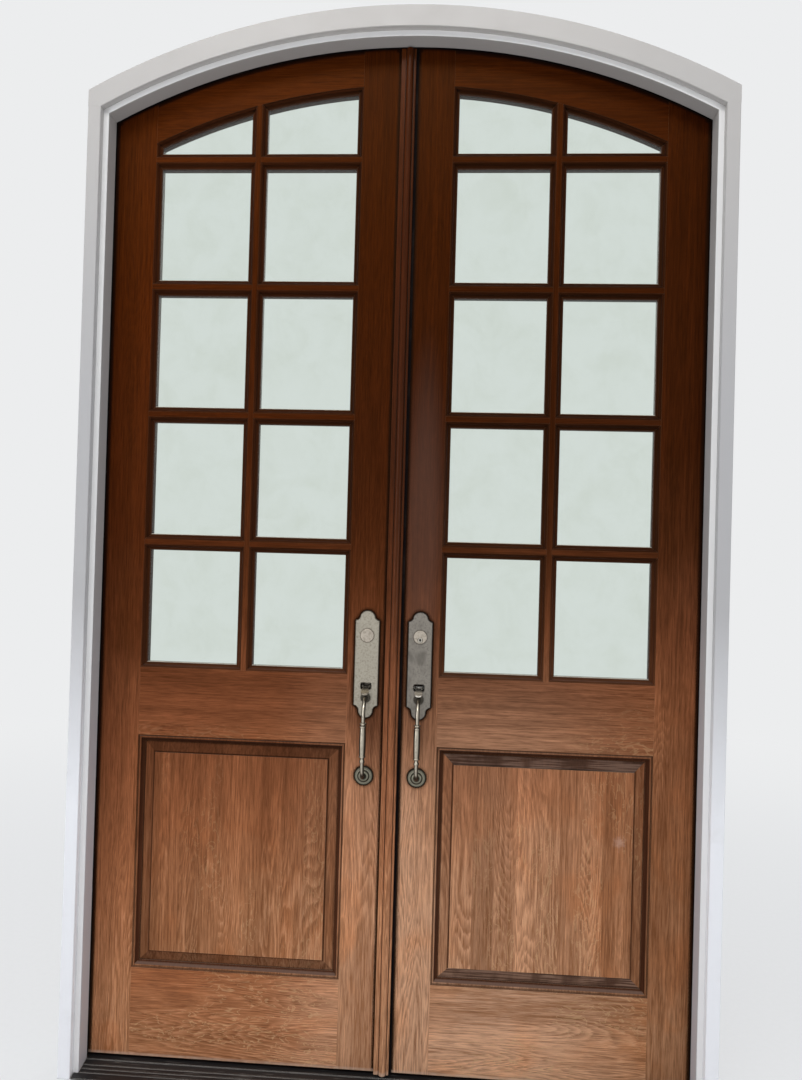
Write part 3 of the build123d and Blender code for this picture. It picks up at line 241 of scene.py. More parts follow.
class Finish(Graph):
    """One material's nodes: its shader, and the place and direction of the surface on its piece."""

    def __init__(self, name):
        self.material = empty_material(name)
        super().__init__(self.material.node_tree)
        self.shader = self.add("ShaderNodeBsdfPrincipled")
        self.output = self.add("ShaderNodeOutputMaterial", {"Surface": self.shader.outputs[0]})
        self.place = self.add("ShaderNodeTexCoord").outputs["Object"]
        self.x, self.y, self.z = self.add("ShaderNodeSeparateXYZ", {"Vector": self.place}).outputs

    @cached_property
    def across(self):
        """Place across the door as a share of a leaf's width, below 0 on the left leaf."""
        return self.math("DIVIDE", self.x, hinge_edge)

    @cached_property
    def up(self):
        """Height as a share of the door's height."""
        return self.math("DIVIDE", self.z, leaf_top)

    @cached_property
    def facing(self):
        """How the surface faces, as separate X, Y and Z."""
        normal = self.add("ShaderNodeTexCoord").outputs["Normal"]
        return self.add("ShaderNodeSeparateXYZ", {"Vector": normal}).outputs

    def openness(self, reach, samples):
        """1 on open faces, and less where another surface is within reach."""
        return self.add("ShaderNodeAmbientOcclusion", {"Distance": reach}, samples=samples).outputs["AO"]

    def soft_normal(self, radius):
        """Normal with softened arrises."""
        return self.add("ShaderNodeBevel", {"Radius": radius}, samples=4).outputs[0]

    def relief(self, radius, height, distance=0.0004, strength=0.5):
        """Normal with softened arrises and the relief of a height."""
        settings = {"Height": height, "Distance": distance, "Strength": strength}
        return self.add("ShaderNodeBump", {**settings, "Normal": self.soft_normal(radius)}).outputs[0]

    def worn_arris(self, radius, slight=1.0, full=0.85):
        """How near a surface is to one of its sharp edges, from 0 to 1."""
        flat = self.add("ShaderNodeNewGeometry").outputs["Normal"]
        agree = self.vector("DOT_PRODUCT", self.soft_normal(radius), flat)["Value"]
        return self.step(agree, slight, full)

    def shade(self, inputs):
        """Feed the shader, and give back the material."""
        self.feed_all(self.shader, inputs)
        return self.material


def new_group(name, inputs, outputs):
    """A node group with the named sockets, its graph, its inputs and its output node."""
    group = bpy.data.node_groups.new(name, "ShaderNodeTree")
    for direction, sockets in (("INPUT", inputs), ("OUTPUT", outputs)):
        for socket_name, kind in sockets.items():
            group.interface.new_socket(socket_name, in_out=direction, socket_type="NodeSocket" + kind)
    graph = Graph(group)
    return group, graph, graph.add("NodeGroupInput").outputs, graph.add("NodeGroupOutput")


def grain_group():
    """Oak grain along Z: rings, wide and fine fibres, short dark pores and patches of pale ragged figure."""
    group, graph, given, result = new_group(
        "oak_grain",
        {"Place": "Vector", "Board": "Float"},
        {"Rings": "Float", "Fibre": "Float", "Fine": "Float", "Pores": "Float", "Figure": "Float"},
    )
    board = graph.add("ShaderNodeCombineXYZ", {"X": given["Board"], "Y": given["Board"]}).outputs[0]
    step_between_boards = (3.71, 1.37, 0.0)
    place = graph.vector("MULTIPLY_ADD", board, step_between_boards, given["Place"])["Vector"]
    fibre = graph.noise(graph.drawn_out(place, 0.032), 190.0, 3.0, 0.62, 0.15)
    fine = graph.noise(graph.drawn_out(place, 0.05), 340.0, 3.0, 0.65)

    # The rings are contour lines of a smooth hill, each one pale inside and sharp on its dark side
    ring_count = 54.0
    hill = graph.noise(graph.drawn_out(place, 0.10), 7.5, 2.0, 0.4, 0.3)
    uneven = graph.math("MULTIPLY_ADD", fine, 0.022, hill)
    turn = graph.math("FRACT", graph.times(uneven, ring_count))
    rings = graph.times(graph.math("POWER", turn, 1.4), graph.step(turn, 0.82, 1.0, 1.0, 0.0))
    figured = graph.step(graph.noise(graph.drawn_out(place, 0.3), 4.0, 1.0), 0.34, 0.56)
    pores = graph.noise(graph.drawn_out(place, 0.035), 700.0, 2.0, 0.6)

    # The pale figure is made of thin ragged lines, in patches only
    line_count = 6.0
    islands = graph.noise(graph.drawn_out(place, 0.36), 34.0, 3.0, 0.6, 0.7)
    from_line = graph.apart(graph.math("FRACT", graph.times(islands, line_count)), 0.5)
    patch = graph.step(graph.noise(graph.drawn_out(place, 0.35), 5.5, 1.0), 0.48, 0.60)
    graph.feed_all(
        result,
        {
            "Rings": graph.times(rings, figured),
            "Fibre": fibre,
            "Fine": fine,
            "Pores": graph.step(pores, 0.54, 0.66),
            "Figure": graph.times(graph.step(from_line, 0.12, 0.02), patch),
        },
    )
    return group


def oak_group(grain):
    """Colour, roughness and height of the stained oak, dark at the top of the door and weathered below, the
    change up the door being partly painted light and shade.
    """
    group, graph, given, result = new_group(
        "stained_oak",
        {
            "Place": "Vector",
            "Board": "Float",
            "Level": "Float",
            "Fade": "Float",
            "Dark": "Float",
            "Tone": "Float",
            "Ragged": "Float",
        },
        {"Color": "Color", "Roughness": "Float", "Height": "Float", "Weather": "Float"},
    )
    # Colour by height: partly weathering of the stain, partly painted light low down and painted shade high
    # up
    stain_and_shade_by_level = [
        (0.0, srgb(167, 120, 87)),
        (0.15, srgb(157, 106, 73)),
        (0.27, srgb(144, 90, 59)),
        (0.36, srgb(123, 72, 45)),
        (0.46, srgb(88, 46, 24)),
        (0.58, srgb(72, 32, 12)),
        (0.80, srgb(70, 28, 5)),
        (1.0, srgb(75, 32, 6)),
    ]
    faded_oak = srgb(204, 158, 126)
    pore_brown = srgb(48, 20, 10)
    bleached_oak = srgb(206, 166, 132)
    pale_figure = srgb(214, 174, 130)
    # Colours of the dark in sunk parts: stain, and on the panel's bevels also painted shade
    sunk_stain_and_shade_low, sunk_stain_and_shade_high = srgb(34, 17, 11), srgb(88, 50, 34)
    ruddy_tint = (1.0, 0.84, 0.70)

    place = given["Place"]
    marks = graph.use(grain, Place=place, Board=given["Board"])
    broad = graph.noise(graph.drawn_out(place, 0.5), 3.1, 3.0, 0.55)
    level = graph.plus(given["Level"], graph.times(graph.math("SUBTRACT", broad, 0.5), 0.22))
    base = graph.mix(given["Fade"], graph.ramp(level, stain_and_shade_by_level), faded_oak)
    weather = graph.step(level, 0.42, 0.05)

    ring_share = graph.step(weather, 0.0, 1.0, 0.10, 0.36)
    figure = graph.math("MULTIPLY_ADD", marks["Rings"], ring_share, graph.times(marks["Fibre"], 0.64))
    figure = graph.math("MULTIPLY_ADD", marks["Fine"], 0.58, figure)
    strip = graph.noise(graph.drawn_out(place, 0.03), 24.0, 2.0, 0.5)
    lightness = graph.step(figure, 0.3, 1.05, 0.52, 1.58)
    lightness = graph.times(lightness, graph.step(strip, 0.32, 0.68, 0.88, 1.12))
    grained = graph.lit(base, lightness)

    patch = graph.noise(graph.drawn_out(place, 0.6), 6.0, 3.0, 0.6, 0.4)
    ruddy = graph.most(graph.step(lightness, 1.0, 0.6), graph.times(graph.step(patch, 0.46, 0.66), 0.85))
    colour = graph.mix(graph.times(ruddy, weather), grained, graph.scaled(grained, ruddy_tint))
    colour = graph.mix(graph.times(marks["Pores"], 0.3), colour, pore_brown)
    colour = graph.mix(graph.times(graph.step(figure, 0.72, 1.0), weather, 0.38), colour, bleached_oak)
    colour = graph.mix(graph.times(marks["Figure"], weather, given["Ragged"]), colour, pale_figure)
    # Dark of the sunk parts: stain, and on the panel's bevels also painted shade
    stained = graph.mix(marks["Fibre"], sunk_stain_and_shade_low, sunk_stain_and_shade_high)
    stained = graph.lit(stained, graph.step(weather, 0.0, 0.6, 0.42, 1.0))
    colour = graph.mix(given["Dark"], colour, stained)
    toned = graph.add("ShaderNodeHueSaturation", {"Value": given["Tone"], "Color": colour}).outputs[0]

    rough = graph.step(weather, 0.0, 1.0, 0.42, 0.66)
    uneven = graph.times(graph.math("SUBTRACT", marks["Fibre"], 0.5), 0.2)
    height = graph.math("SUBTRACT", graph.times(figure, 0.6), graph.times(marks["Pores"], 0.5))
    graph.feed_all(
        result,
        {
            "Color": toned,
            "Roughness": graph.math("ADD", rough, uneven, clamp=True),
            "Height": height,
            "Weather": weather,
        },
    )
    return group


def wear_group():
    """Marks for worn paint and metal: broad stains, fine specks and long scratches."""
    group, graph, given, result = new_group(
        "surface_wear",
        {"Place": "Vector"},
        {"Stain": "Float", "Speck": "Float", "Scratch": "Float"},
    )
    place = given["Place"]
    streak = graph.noise(graph.drawn_out(place, 0.05), 300.0, 2.0, 0.5)
    graph.feed_all(
        result,
        {
            "Stain": graph.noise(place, 9.0, 4.0, 0.6, 0.4),
            "Speck": graph.noise(place, 420.0, 3.0, 0.6),
            "Scratch": graph.step(streak, 0.6, 0.72),
        },
    )
    return group


oak = oak_group(grain_group())
wear = wear_group()


def sunk(finish, start):
    """1 in the sunk part of a section, between a depth behind the outside face and the sticking's depth."""
    end = leaf_front + sticking_depth + arris_fade
    return finish.within(finish.y, leaf_front + start, end, arris_fade)


def stuck_moulding(finish):
    """Dark stain in the moulding worked on the edges of a stile or rail."""
    return finish.times(sunk(finish, flat_depth), 0.75)


def raised_panel_stain_and_shade(finish):
    """Dark stain on a panel's bevels, with painted shade that makes the level ones darker, and a painted
    shadow line in the quirk round its field.
    """
    field_end, quirk_end = leaf_front + field_depth, leaf_front + quirk_depth
    # Painted shade: more dark on the level bevels than on the upright ones
    slope = finish.step(finish.math("ABSOLUTE", finish.facing["Z"]), 0.05, 0.18, 0.31, 0.62)
    past_field = finish.step(finish.y, field_end, field_end + arris_fade)
    # Painted shadow line in the quirk round the field
    before_quirk = finish.step(finish.y, quirk_end, quirk_end + quirk_fade, 1.0, 0.0)
    bevels = finish.times(sunk(finish, field_depth), slope)
    return finish.most(bevels, finish.times(past_field, before_quirk, 0.92))


def bead_moulding(finish):
    """Dark stain on a bead, with a painted highlight where it is lighter on its outermost part."""
    half = (leaf_back - leaf_front) / 2
    return finish.step(finish.apart(finish.y, leaf_centre), half - 0.0020, half - 0.0009, 0.97, 0.378)


def stain_level(finish, role, along):
    """Height on the door from 0 to 1, shifted where the stain has lasted longer or less long."""
    limits = {"From Min": leaf_bottom, "From Max": leaf_top}
    level = finish.add("ShaderNodeMapRange", {"Value": finish.z, **limits}).outputs[0]
    level = finish.plus(level, finish.step(finish.across, *whole_width, 0.03, -0.05))
    if role == "stile":
        level = finish.plus(level, finish.step(finish.across, *beside_left_hinges, 0.045, -0.01))
    if along == "X":
        on_left_leaf = finish.step(finish.x, 0.0, -0.05, 0.0, 0.13)
        level = finish.plus(level, finish.times(on_left_leaf, finish.step(finish.up, *lower_rail_heights)))
    return level


def bleached(finish, share):
    """Share of bleached oak low on the leaves: half as much on the left, and most beside the middle."""
    right_share = finish.step(finish.x, *right_of_middle, 0.0, share)
    left_share = finish.step(finish.x, *left_of_middle, 0.0, share / 2)
    right = finish.times(finish.step(finish.across, *bleached_right), right_share)
    left = finish.times(finish.step(finish.across, *bleached_left), left_share)
    return finish.times(finish.step(finish.up, *bleached_heights), finish.plus(right, left))


def board_tone(finish, role, board, tone):
    """Lightness of each board: a little unlike the next one, and less high up, but not by the left hinges."""
    chance = finish.add("ShaderNodeTexWhiteNoise", {"W": board}, noise_dimensions="1D").outputs["Value"]
    varied = finish.step(chance, 0.0, 1.0, tone * 0.9, tone * 1.1)
    high_up = finish.step(finish.up, *shaded_heights, 0.0, 0.2)
    shade = finish.times(finish.step(finish.across, *shaded_width), high_up)
    if role == "stile":
        past_edge = finish.step(finish.x, -lock_stile_outside - 0.064, -lock_stile_outside - 0.004)
        left_lock_stile = finish.times(past_edge, finish.step(finish.x, 0.0, -0.01))
        deeper = finish.step(finish.up, *shaded_heights, 0.0, 0.13)
        shade = finish.plus(shade, finish.times(left_lock_stile, deeper))
    return finish.times(varied, finish.math("SUBTRACT", 1.0, shade))


def rubbed_places(finish):
    """A rubbed patch on the right panel and a few short scratches on the right hinge stile."""
    patch_x = high_end("right_panel", "X") - 0.091
    patch_z = low_end("right_panel", "Z") + 0.411
    away = finish.distance(finish.place, patch_x, patch_z, 0.75)
    ragged = finish.math("MULTIPLY_ADD", finish.noise(finish.place, 90.0, 3.0), 0.03, away)
    patch = finish.times(finish.step(ragged, 0.034, 0.016), 0.5)

    turned = {"Vector": finish.place, "Rotation": (0.0, 0.16, 0.0), "Scale": (1.0, 0.0, 30.0)}
    thin = finish.noise(finish.add("ShaderNodeMapping", turned).outputs[0], 9.0, 2.0, 0.5)
    beside = finish.step(finish.x, hinge_stile_inside + 0.02, hinge_stile_inside + 0.04)
    foot, head = lock_rail_foot - 0.2775, lock_rail_foot - 0.0575
    scratched = finish.times(beside, finish.within(finish.z, foot, head, 0.02))
    return finish.most(patch, finish.times(finish.step(thin, 0.715, 0.735), scratched, 0.7))


def weathered_and_shaded_bevels(finish, colour, stain):
    """Grey weathered streaks on the level bevels of the right panel, in place of their dark stain, with
    painted shade darkening the bevels that face up.
    """
    level = finish.step(finish.math("ABSOLUTE", finish.facing["Z"]), 0.05, 0.15)
    level = finish.times(level, finish.step(finish.x, 0.0, 0.02))
    greyed = finish.math("MULTIPLY", level, finish.times(stain, 1.3), clamp=True)
    # Painted shade: the bevels that face up take the darker greys
    faces_up_shaded = finish.step(finish.facing["Z"], -0.05, 0.05)
    deep = finish.mix(faces_up_shaded, srgb(66, 49, 42), srgb(54, 41, 36))
    pale = finish.mix(faces_up_shaded, srgb(140, 112, 96), srgb(112, 91, 80))
    streaks = finish.noise(finish.scaled(finish.place, (0.035, 1.0, 1.0)), 210.0, 3.0, 0.6)
    patches = finish.noise(finish.drawn_out(finish.place, 0.5), 13.0, 2.0, 0.6)
    lightest = finish.times(finish.step(streaks, 0.40, 0.60), finish.step(patches, 0.40, 0.56, 0.25, 1.0))
    return finish.mix(greyed, colour, finish.mix(lightest, deep, pale))


def handle_shade_and_sheen(finish, colour):
    """Painted shade round and below the handles, and a painted grey sheen above the right one."""
    shade_tint = (0.30, 0.27, 0.27)
    sheen_grey = srgb(118, 88, 76)
    shade_middle = (handle_centre - 0.01135, handle_head - 0.237)
    sheen_middle = (handle_centre - 0.00135, handle_head + 0.193)
    from_middle = finish.math("ABSOLUTE", finish.x)
    mirrored = finish.add("ShaderNodeCombineXYZ", {"X": from_middle, "Z": finish.z}).outputs[0]
    # Painted shade in a tall patch round each handle, stronger on the left leaf
    away = finish.distance(mirrored, *shade_middle, 0.3)
    shade_share = finish.step(finish.x, *right_of_middle, 0.85, 0.45)
    handle_shading = finish.times(finish.step(away, 0.080, 0.020), shade_share)
    colour = finish.mix(handle_shading, colour, finish.scaled(colour, shade_tint))
    # Painted sheen above the right handle
    above = finish.distance(finish.place, *sheen_middle, 0.12)
    return finish.mix(finish.times(finish.step(above, 0.075, 0.02), 0.3), colour, sheen_grey)


def corner_shade(finish, role):
    """Painted shade in corners, beside what stands on the top rail and the stiles, and along the hinge edges,
    where it is partly dirt.
    """
    openness = finish.openness(0.010, 6)
    corner_shading = finish.times(finish.step(openness, 0.85, 0.4), 0.85)
    if role not in ("stile", "top_rail"):
        return corner_shading
    # Painted shade in a wider ring round what stands on the wood
    ring = finish.times(finish.step(openness, 0.985, 0.84), 0.95)
    if role == "stile":
        from_middle = finish.math("ABSOLUTE", finish.x)
        beside = finish.step(finish.apart(from_middle, handle_centre), 0.060, 0.045)
        plate = finish.times(beside, finish.within(finish.z, handle_foot - 0.0376, handle_head + 0.033, 0.02))
        hinge_side = finish.step(from_middle, hinge_edge - 0.03, hinge_edge - 0.02)
        middle_side = finish.step(from_middle, astragal_edge + 0.018, astragal_edge + 0.010)
        ring = finish.times(ring, finish.most(plate, hinge_side, middle_side))
        # A dark strip along each hinge edge, partly dirt and partly painted shade
        corner_shading = finish.most(corner_shading, finish.step(from_middle, hinge_edge - 0.012, hinge_edge - 0.004, 0.0, 0.9))
    return finish.most(corner_shading, ring)


def wood(name, role, along="Z", section=None, board_width=None, tone=1.0, gloss=0.0, fade=0.75, ragged=0.0):
    """Stained oak with its grain along an axis, and the stain and wear of its role in the leaf."""
    finish = Finish(name)
    across, lengthwise = (finish.x, finish.z) if along == "Z" else (finish.z, finish.x)
    grain_place = finish.add("ShaderNodeCombineXYZ", {"X": across, "Y": finish.y, "Z": lengthwise})
    if board_width:
        board = finish.math("FLOOR", finish.math("DIVIDE", across, board_width))
    else:
        board = finish.plus(finish.math("SIGN", finish.x), 3.0)
    # Dark of the sunk parts of the section: stain, with painted shade on the panel
    sunk_stain_and_shade = section(finish) if section else 0.0
    surface = finish.use(
        oak,
        Place=grain_place.outputs[0],
        Board=board,
        Level=stain_level(finish, role, along),
        Fade=bleached(finish, fade),
        Dark=sunk_stain_and_shade,
        Tone=board_tone(finish, role, board, tone),
        Ragged=ragged,
    )
    colour = finish.mix(rubbed_places(finish), surface["Color"], srgb(196, 160, 142))
    if role == "panel":
        colour = weathered_and_shaded_bevels(finish, colour, sunk_stain_and_shade)
    if role == "stile":
        colour = handle_shade_and_sheen(finish, colour)
    shade_brown, dust_and_sheen_tan = srgb(26, 13, 8), srgb(166, 140, 126)
    scuffed_oak, bare_arris = srgb(204, 176, 156), srgb(186, 140, 104)
    # Painted shade in corners, in a dark brown
    colour = finish.mix(corner_shade(finish, role), colour, shade_brown)
    # Dust and a painted sheen on faces turned up, low on the door
    on_ledges = finish.step(finish.facing["Z"], 0.2, 0.8)
    dusty = finish.times(on_ledges, finish.step(finish.up, *bleached_heights), 0.32)
    colour = finish.mix(dusty, colour, dust_and_sheen_tan)
    at_foot = finish.step(finish.z, leaf_bottom + 0.010, leaf_bottom + 0.003)
    colour = finish.mix(finish.times(at_foot, finish.noise(finish.place, 60.0, 2.0)), colour, scuffed_oak)
    reach = finish.step(surface["Weather"], 0.0, 1.0, 0.10, 0.5)
    colour = finish.mix(finish.times(finish.worn_arris(0.0014), reach), colour, bare_arris)
    return finish.shade(
        {
            "Base Color": colour,
            "Roughness": surface["Roughness"],
            "Normal": finish.relief(0.001, surface["Height"]),
            "Specular IOR Level": 0.08,
            "Specular Tint": (1.0, 0.45, 0.12, 1.0),
            "Coat Weight": gloss,
            "Coat Roughness": 0.22,
        }
    )


def paint(name, lit_tones, highlit_front=None):
    """White paint with painted light and shade changing up the door, a little stained, and with a painted
    highlight on a front edge.
    """
    finish = Finish(name)
    marks = finish.use(wear, Place=finish.place)
    low_down, half_way, high_up = lit_tones
    # Painted light and shade by height
    colour = finish.ramp(finish.up, [(0.26, low_down), (0.46, half_way), (0.65, half_way), (1.0, high_up)])
    stain = finish.times(finish.step(marks["Stain"], 0.50, 0.80), 0.16)
    colour = finish.mix(stain, colour, srgb(186, 182, 176))
    # Painted shade in the corners of the paintwork
    corner_shading = finish.times(finish.step(finish.openness(0.012, 4), 0.75, 0.35), 0.5)
    colour = finish.mix(corner_shading, colour, srgb(120, 114, 108))
    if highlit_front:
        # Painted highlight on the front edge of the jamb
        ahead = finish.step(finish.y, highlit_front + 0.0005, highlit_front + 0.001, 1.0, 0.0)
        colour = finish.mix(finish.times(ahead, 0.85), colour, srgb(253, 252, 251))
    return finish.shade(
        {
            "Base Color": colour,
            "Roughness": finish.step(marks["Stain"], 0.3, 0.8, 0.38, 0.55),
            "Normal": finish.relief(0.0012, marks["Speck"], 0.00015, 0.4),
        }
    )


def plate_rim(finish):
    """Dark border of a handle plate: its sloping edges and the face just inside them."""
    sloping = finish.step(finish.math("ABSOLUTE", finish.facing["Y"]), 0.98, 0.85)
    return finish.times(finish.most(sloping, finish.worn_arris(0.0034, 0.997, 0.95)), 0.95)


def rod_shade(finish):
    """Painted shade on the sides of a rod, leaving a painted highlight on faces turned a little left, and
    dark feet where a grip meets its plate and its rosette.
    """
    turned = finish.facing["X"]
    shadowed = finish.most(finish.step(turned, 0.0, 0.65), finish.step(turned, -0.30, -0.75))
    outside = finish.step(finish.y, 0.0, 0.001, 1.0, 0.0)
    upper = finish.times(finish.step(finish.y, plate_front - 0.02775, plate_front - 0.01175), outside)
    lower = finish.step(finish.z, rosette_centre + 0.026, rosette_centre + 0.012)
    return finish.most(finish.times(shadowed, 0.96), finish.times(finish.most(upper, lower), 0.9))


def rosette_rings(finish):
    """Dark grooves and pale rings about the middle of a rosette."""
    across = finish.math("SUBTRACT", finish.math("ABSOLUTE", finish.x), handle_centre)
    up = finish.math("SUBTRACT", finish.z, rosette_centre)
    flat = finish.add("ShaderNodeCombineXYZ", {"X": across, "Y": up}).outputs[0]
    radius = finish.math("DIVIDE", finish.vector("LENGTH", flat)["Value"], rosette_radius)
    dark_by_radius = [
        (0.0, 0.95),
        (0.30, 0.9),
        (0.38, 0.35),
        (0.48, 0.4),
        (0.55, 0.92),
        (0.63, 0.9),
        (0.70, 0.2),
        (0.84, 0.3),
        (0.92, 0.95),
    ]
    return finish.ramp(radius, [(share, (dark, dark, dark, 1.0)) for share, dark in dark_by_radius])


def keyway(finish):
    """Painted shade in and round the keyway in the middle of the plug, and a dark rim round its face."""
    away = finish.distance(finish.place, keyway_x, keyway_z, 0.75)
    return finish.most(finish.step(away, 0.0036, 0.0018), finish.step(away, 0.0050, 0.0062))


def metal(name, bright, dull, roughness, tarnish_from=0.45, darkened=None, hollows=1.0):
    """Plated metal with dark patina in its hollows, in stains and specks, and where a given mask darkens it,
    which on grip rods and the keyway is painted shade.
    """
    finish = Finish(name)
    marks = finish.use(wear, Place=finish.scaled(finish.place, (3.0, 3.0, 1.8)))
    mottle = finish.noise(finish.place, 170.0, 3.0, 0.7)
    patina = finish.most(
        finish.times(finish.step(finish.openness(0.007, 6), 0.95, 0.5), hollows),
        finish.times(finish.step(marks["Stain"], tarnish_from, tarnish_from + 0.3), 0.5),
        finish.times(finish.step(marks["Speck"], 0.42, 0.68), 0.42),
        finish.times(finish.step(mottle, 0.42, 0.70), 0.45),
    )
    # A given mask: patina on plate rims and rosettes, painted shade on grip rods and the keyway
    if darkened:
        patina = finish.most(patina, darkened(finish))
    colour = finish.mix(patina, bright, dull)
    colour = finish.mix(finish.times(marks["Scratch"], 0.2), colour, bright)
    rough = finish.plus(finish.times(patina, 0.18), roughness, finish.times(marks["Speck"], 0.1))
    return finish.shade(
        {
            "Base Color": colour,
            "Roughness": rough,
            "Metallic": 1.0,
            "Normal": finish.relief(0.0005, marks["Speck"], 0.00006, 0.25),
        }
    )


def rubber(name):
    """Dull black seal with dust on it."""
    finish = Finish(name)
    marks = finish.use(wear, Place=finish.place)
    dusty = finish.step(marks["Stain"], 0.45, 0.8)
    return finish.shade(
        {
            "Base Color": finish.mix(dusty, srgb(13, 8, 8), srgb(38, 30, 26)),
            "Roughness": finish.step(marks["Speck"], 0.2, 0.8, 0.7, 0.9),
            "Specular IOR Level": 0.05,
            "Normal": finish.relief(0.0005, marks["Speck"], 0.0001, 0.4),
        }
    )


def sill(name):
    """Dark threshold, rubbed pale along its ridges and edges."""
    finish = Finish(name)
    marks = finish.use(wear, Place=finish.scaled(finish.place, (0.05, 1.0, 1.0)))
    rubbed = finish.most(finish.worn_arris(0.0025), finish.times(marks["Scratch"], 0.4))
    colour = finish.mix(marks["Stain"], srgb(18, 17, 18), srgb(44, 42, 42))
    return finish.shade(
        {
            "Base Color": finish.mix(finish.times(rubbed, marks["Stain"]), colour, srgb(190, 184, 176)),
            "Roughness": finish.step(marks["Stain"], 0.2, 0.8, 0.35, 0.6),
            "Metallic": 0.15,
            "Normal": finish.relief(0.001, marks["Speck"], 0.0001, 0.4),
        }
    )


def glass(name):
    """Clear glass with faint streaks, which lets light through to what is behind it."""
    finish = Finish(name)
    marks = finish.use(wear, Place=finish.place)
    streaky = finish.step(marks["Stain"], 0.35, 0.85)
    clear = finish.add("ShaderNodeBsdfTransparent", {"Color": srgb(238, 242, 240)})
    path = finish.add("ShaderNodeLightPath").outputs
    through = finish.most(path["Is Shadow Ray"], path["Is Diffuse Ray"])
    both = finish.add("ShaderNodeMixShader", {"Fac": through})
    finish.feed(both.inputs[1], finish.shader.outputs[0])
    finish.feed(both.inputs[2], clear.outputs[0])
    finish.feed(finish.output.inputs["Surface"], both.outputs[0])
    return finish.shade(
        {
            "Base Color": finish.mix(streaky, srgb(225, 234, 227), srgb(217, 226, 216)),
            "Roughness": finish.step(marks["Stain"], 0.5, 0.9, 0.0, 0.04),
            "Transmission Weight": 1.0,
            "IOR": 1.46,
        }
    )


def sealant(name):
    """Old sealant, pale on faces turned up as a painted highlight, and brown elsewhere as stain and painted
    shade.
    """
    finish = Finish(name)
    marks = finish.use(wear, Place=finish.place)
    stained = finish.mix(marks["Speck"], srgb(50, 28, 18), srgb(84, 54, 36))
    pale = finish.mix(marks["Speck"], srgb(176, 166, 148), srgb(226, 218, 200))
    return finish.shade(
        {
            # Painted highlight on faces turned up, painted shade elsewhere
            "Base Color": finish.mix(finish.step(finish.facing["Z"], 0.1, 0.4), stained, pale),
            "Roughness": finish.step(marks["Stain"], 0.3, 0.8, 0.5, 0.8),
            "Normal": finish.relief(0.0004, marks["Speck"], 0.0001, 0.4),
            "Specular IOR Level": 0.2,
        }
    )


# Colours of the paint low down, half way up and at the top: painted light and shade, lighter low down and
# greyer higher up
jamb_lit_tones = (srgb(208, 209, 214), srgb(186, 184, 183), srgb(182, 178, 174))
casing_lit_tones = (srgb(249, 250, 254), srgb(186, 185, 186), srgb(196, 192, 188))

materials = {
    "stile_wood": wood("stile_oak", "stile", section=stuck_moulding),
    "rail_wood": wood("rail_oak", "rail", "X", stuck_moulding, fade=0.95, ragged=0.6),
    "top_rail_wood": wood("top_rail_oak", "top_rail", "X", stuck_moulding, tone=1.12),
    "panel_wood": wood("panel_oak", "panel", section=raised_panel_stain_and_shade, board_width=0.057, fade=0.3, ragged=0.35),
    "moulding_wood": wood("moulding_oak", "moulding", section=bead_moulding),
    "astragal_wood": wood("astragal_oak", "astragal", tone=1.14, gloss=0.12, fade=0.1),
    "white_jamb": paint("jamb_paint", jamb_lit_tones, highlit_front=jamb_front),
    "white_casing": paint("casing_paint", casing_lit_tones),
    "clear_glass": glass("clear_glass"),
    "sill_metal": sill("sill_metal"),
    "black_rubber": rubber("black_rubber"),
    "dark_bronze": metal("dark_bronze", srgb(120, 100, 78), srgb(42, 34, 28), 0.38),
    "bolt_steel": metal("bolt_steel", srgb(205, 202, 196), srgb(120, 116, 108), 0.3),
    "light_nickel": metal("light_nickel", srgb(186, 179, 164), srgb(62, 54, 44), 0.38, 0.5, plate_rim),
    "dark_nickel": metal("dark_nickel", srgb(152, 146, 137), srgb(40, 35, 31), 0.42, 0.45, plate_rim),
    "bright_nickel": metal("bright_nickel", srgb(200, 190, 176), srgb(84, 75, 64), 0.45, 0.5),
    "grip_nickel": metal("grip_nickel", srgb(208, 198, 180), srgb(28, 24, 19), 0.24, 0.5, rod_shade),
}

for entry in frame["record"]["subparts"]:
    mesh = parts[entry["node"]].data
    mesh.materials.clear()
    mesh.materials.append(materials[entry["material_slot"]])

# Pieces with a finish of their own within their slot
rosette_nickel = metal("rosette_nickel", srgb(158, 154, 136), srgb(32, 30, 25), 0.36, darkened=rosette_rings)
# The right thumb piece has a lighter copy of the nickel, as a painted highlight
thumb_nickel = metal("thumb_nickel", srgb(212, 206, 196), srgb(84, 76, 64), 0.3, 0.55, hollows=0.25)
dull_thumb_nickel = metal("dull_thumb_nickel", srgb(158, 150, 136), srgb(70, 63, 53), 0.36, 0.5, hollows=0.6)
plug_nickel = metal("plug_nickel", srgb(204, 198, 186), srgb(34, 30, 26), 0.4, 0.55, keyway)
own_finishes = {
    "left_rosette": rosette_nickel,
    "right_rosette": rosette_nickel,
    "right_thumb_piece": thumb_nickel,
    "left_thumb_piece": dull_thumb_nickel,
    "key_plug": plug_nickel,
}
for name, finish in own_finishes.items():
    parts[name].data.materials[0] = finish


def piece(name, mesh, body, slot):
    """A new object that rides on a body and takes the finish of a slot."""
    mesh.materials.append(materials[slot])
    made = bpy.data.objects.new(name, mesh)
    bpy.context.scene.collection.objects.link(made)
    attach(made, body)
    return made


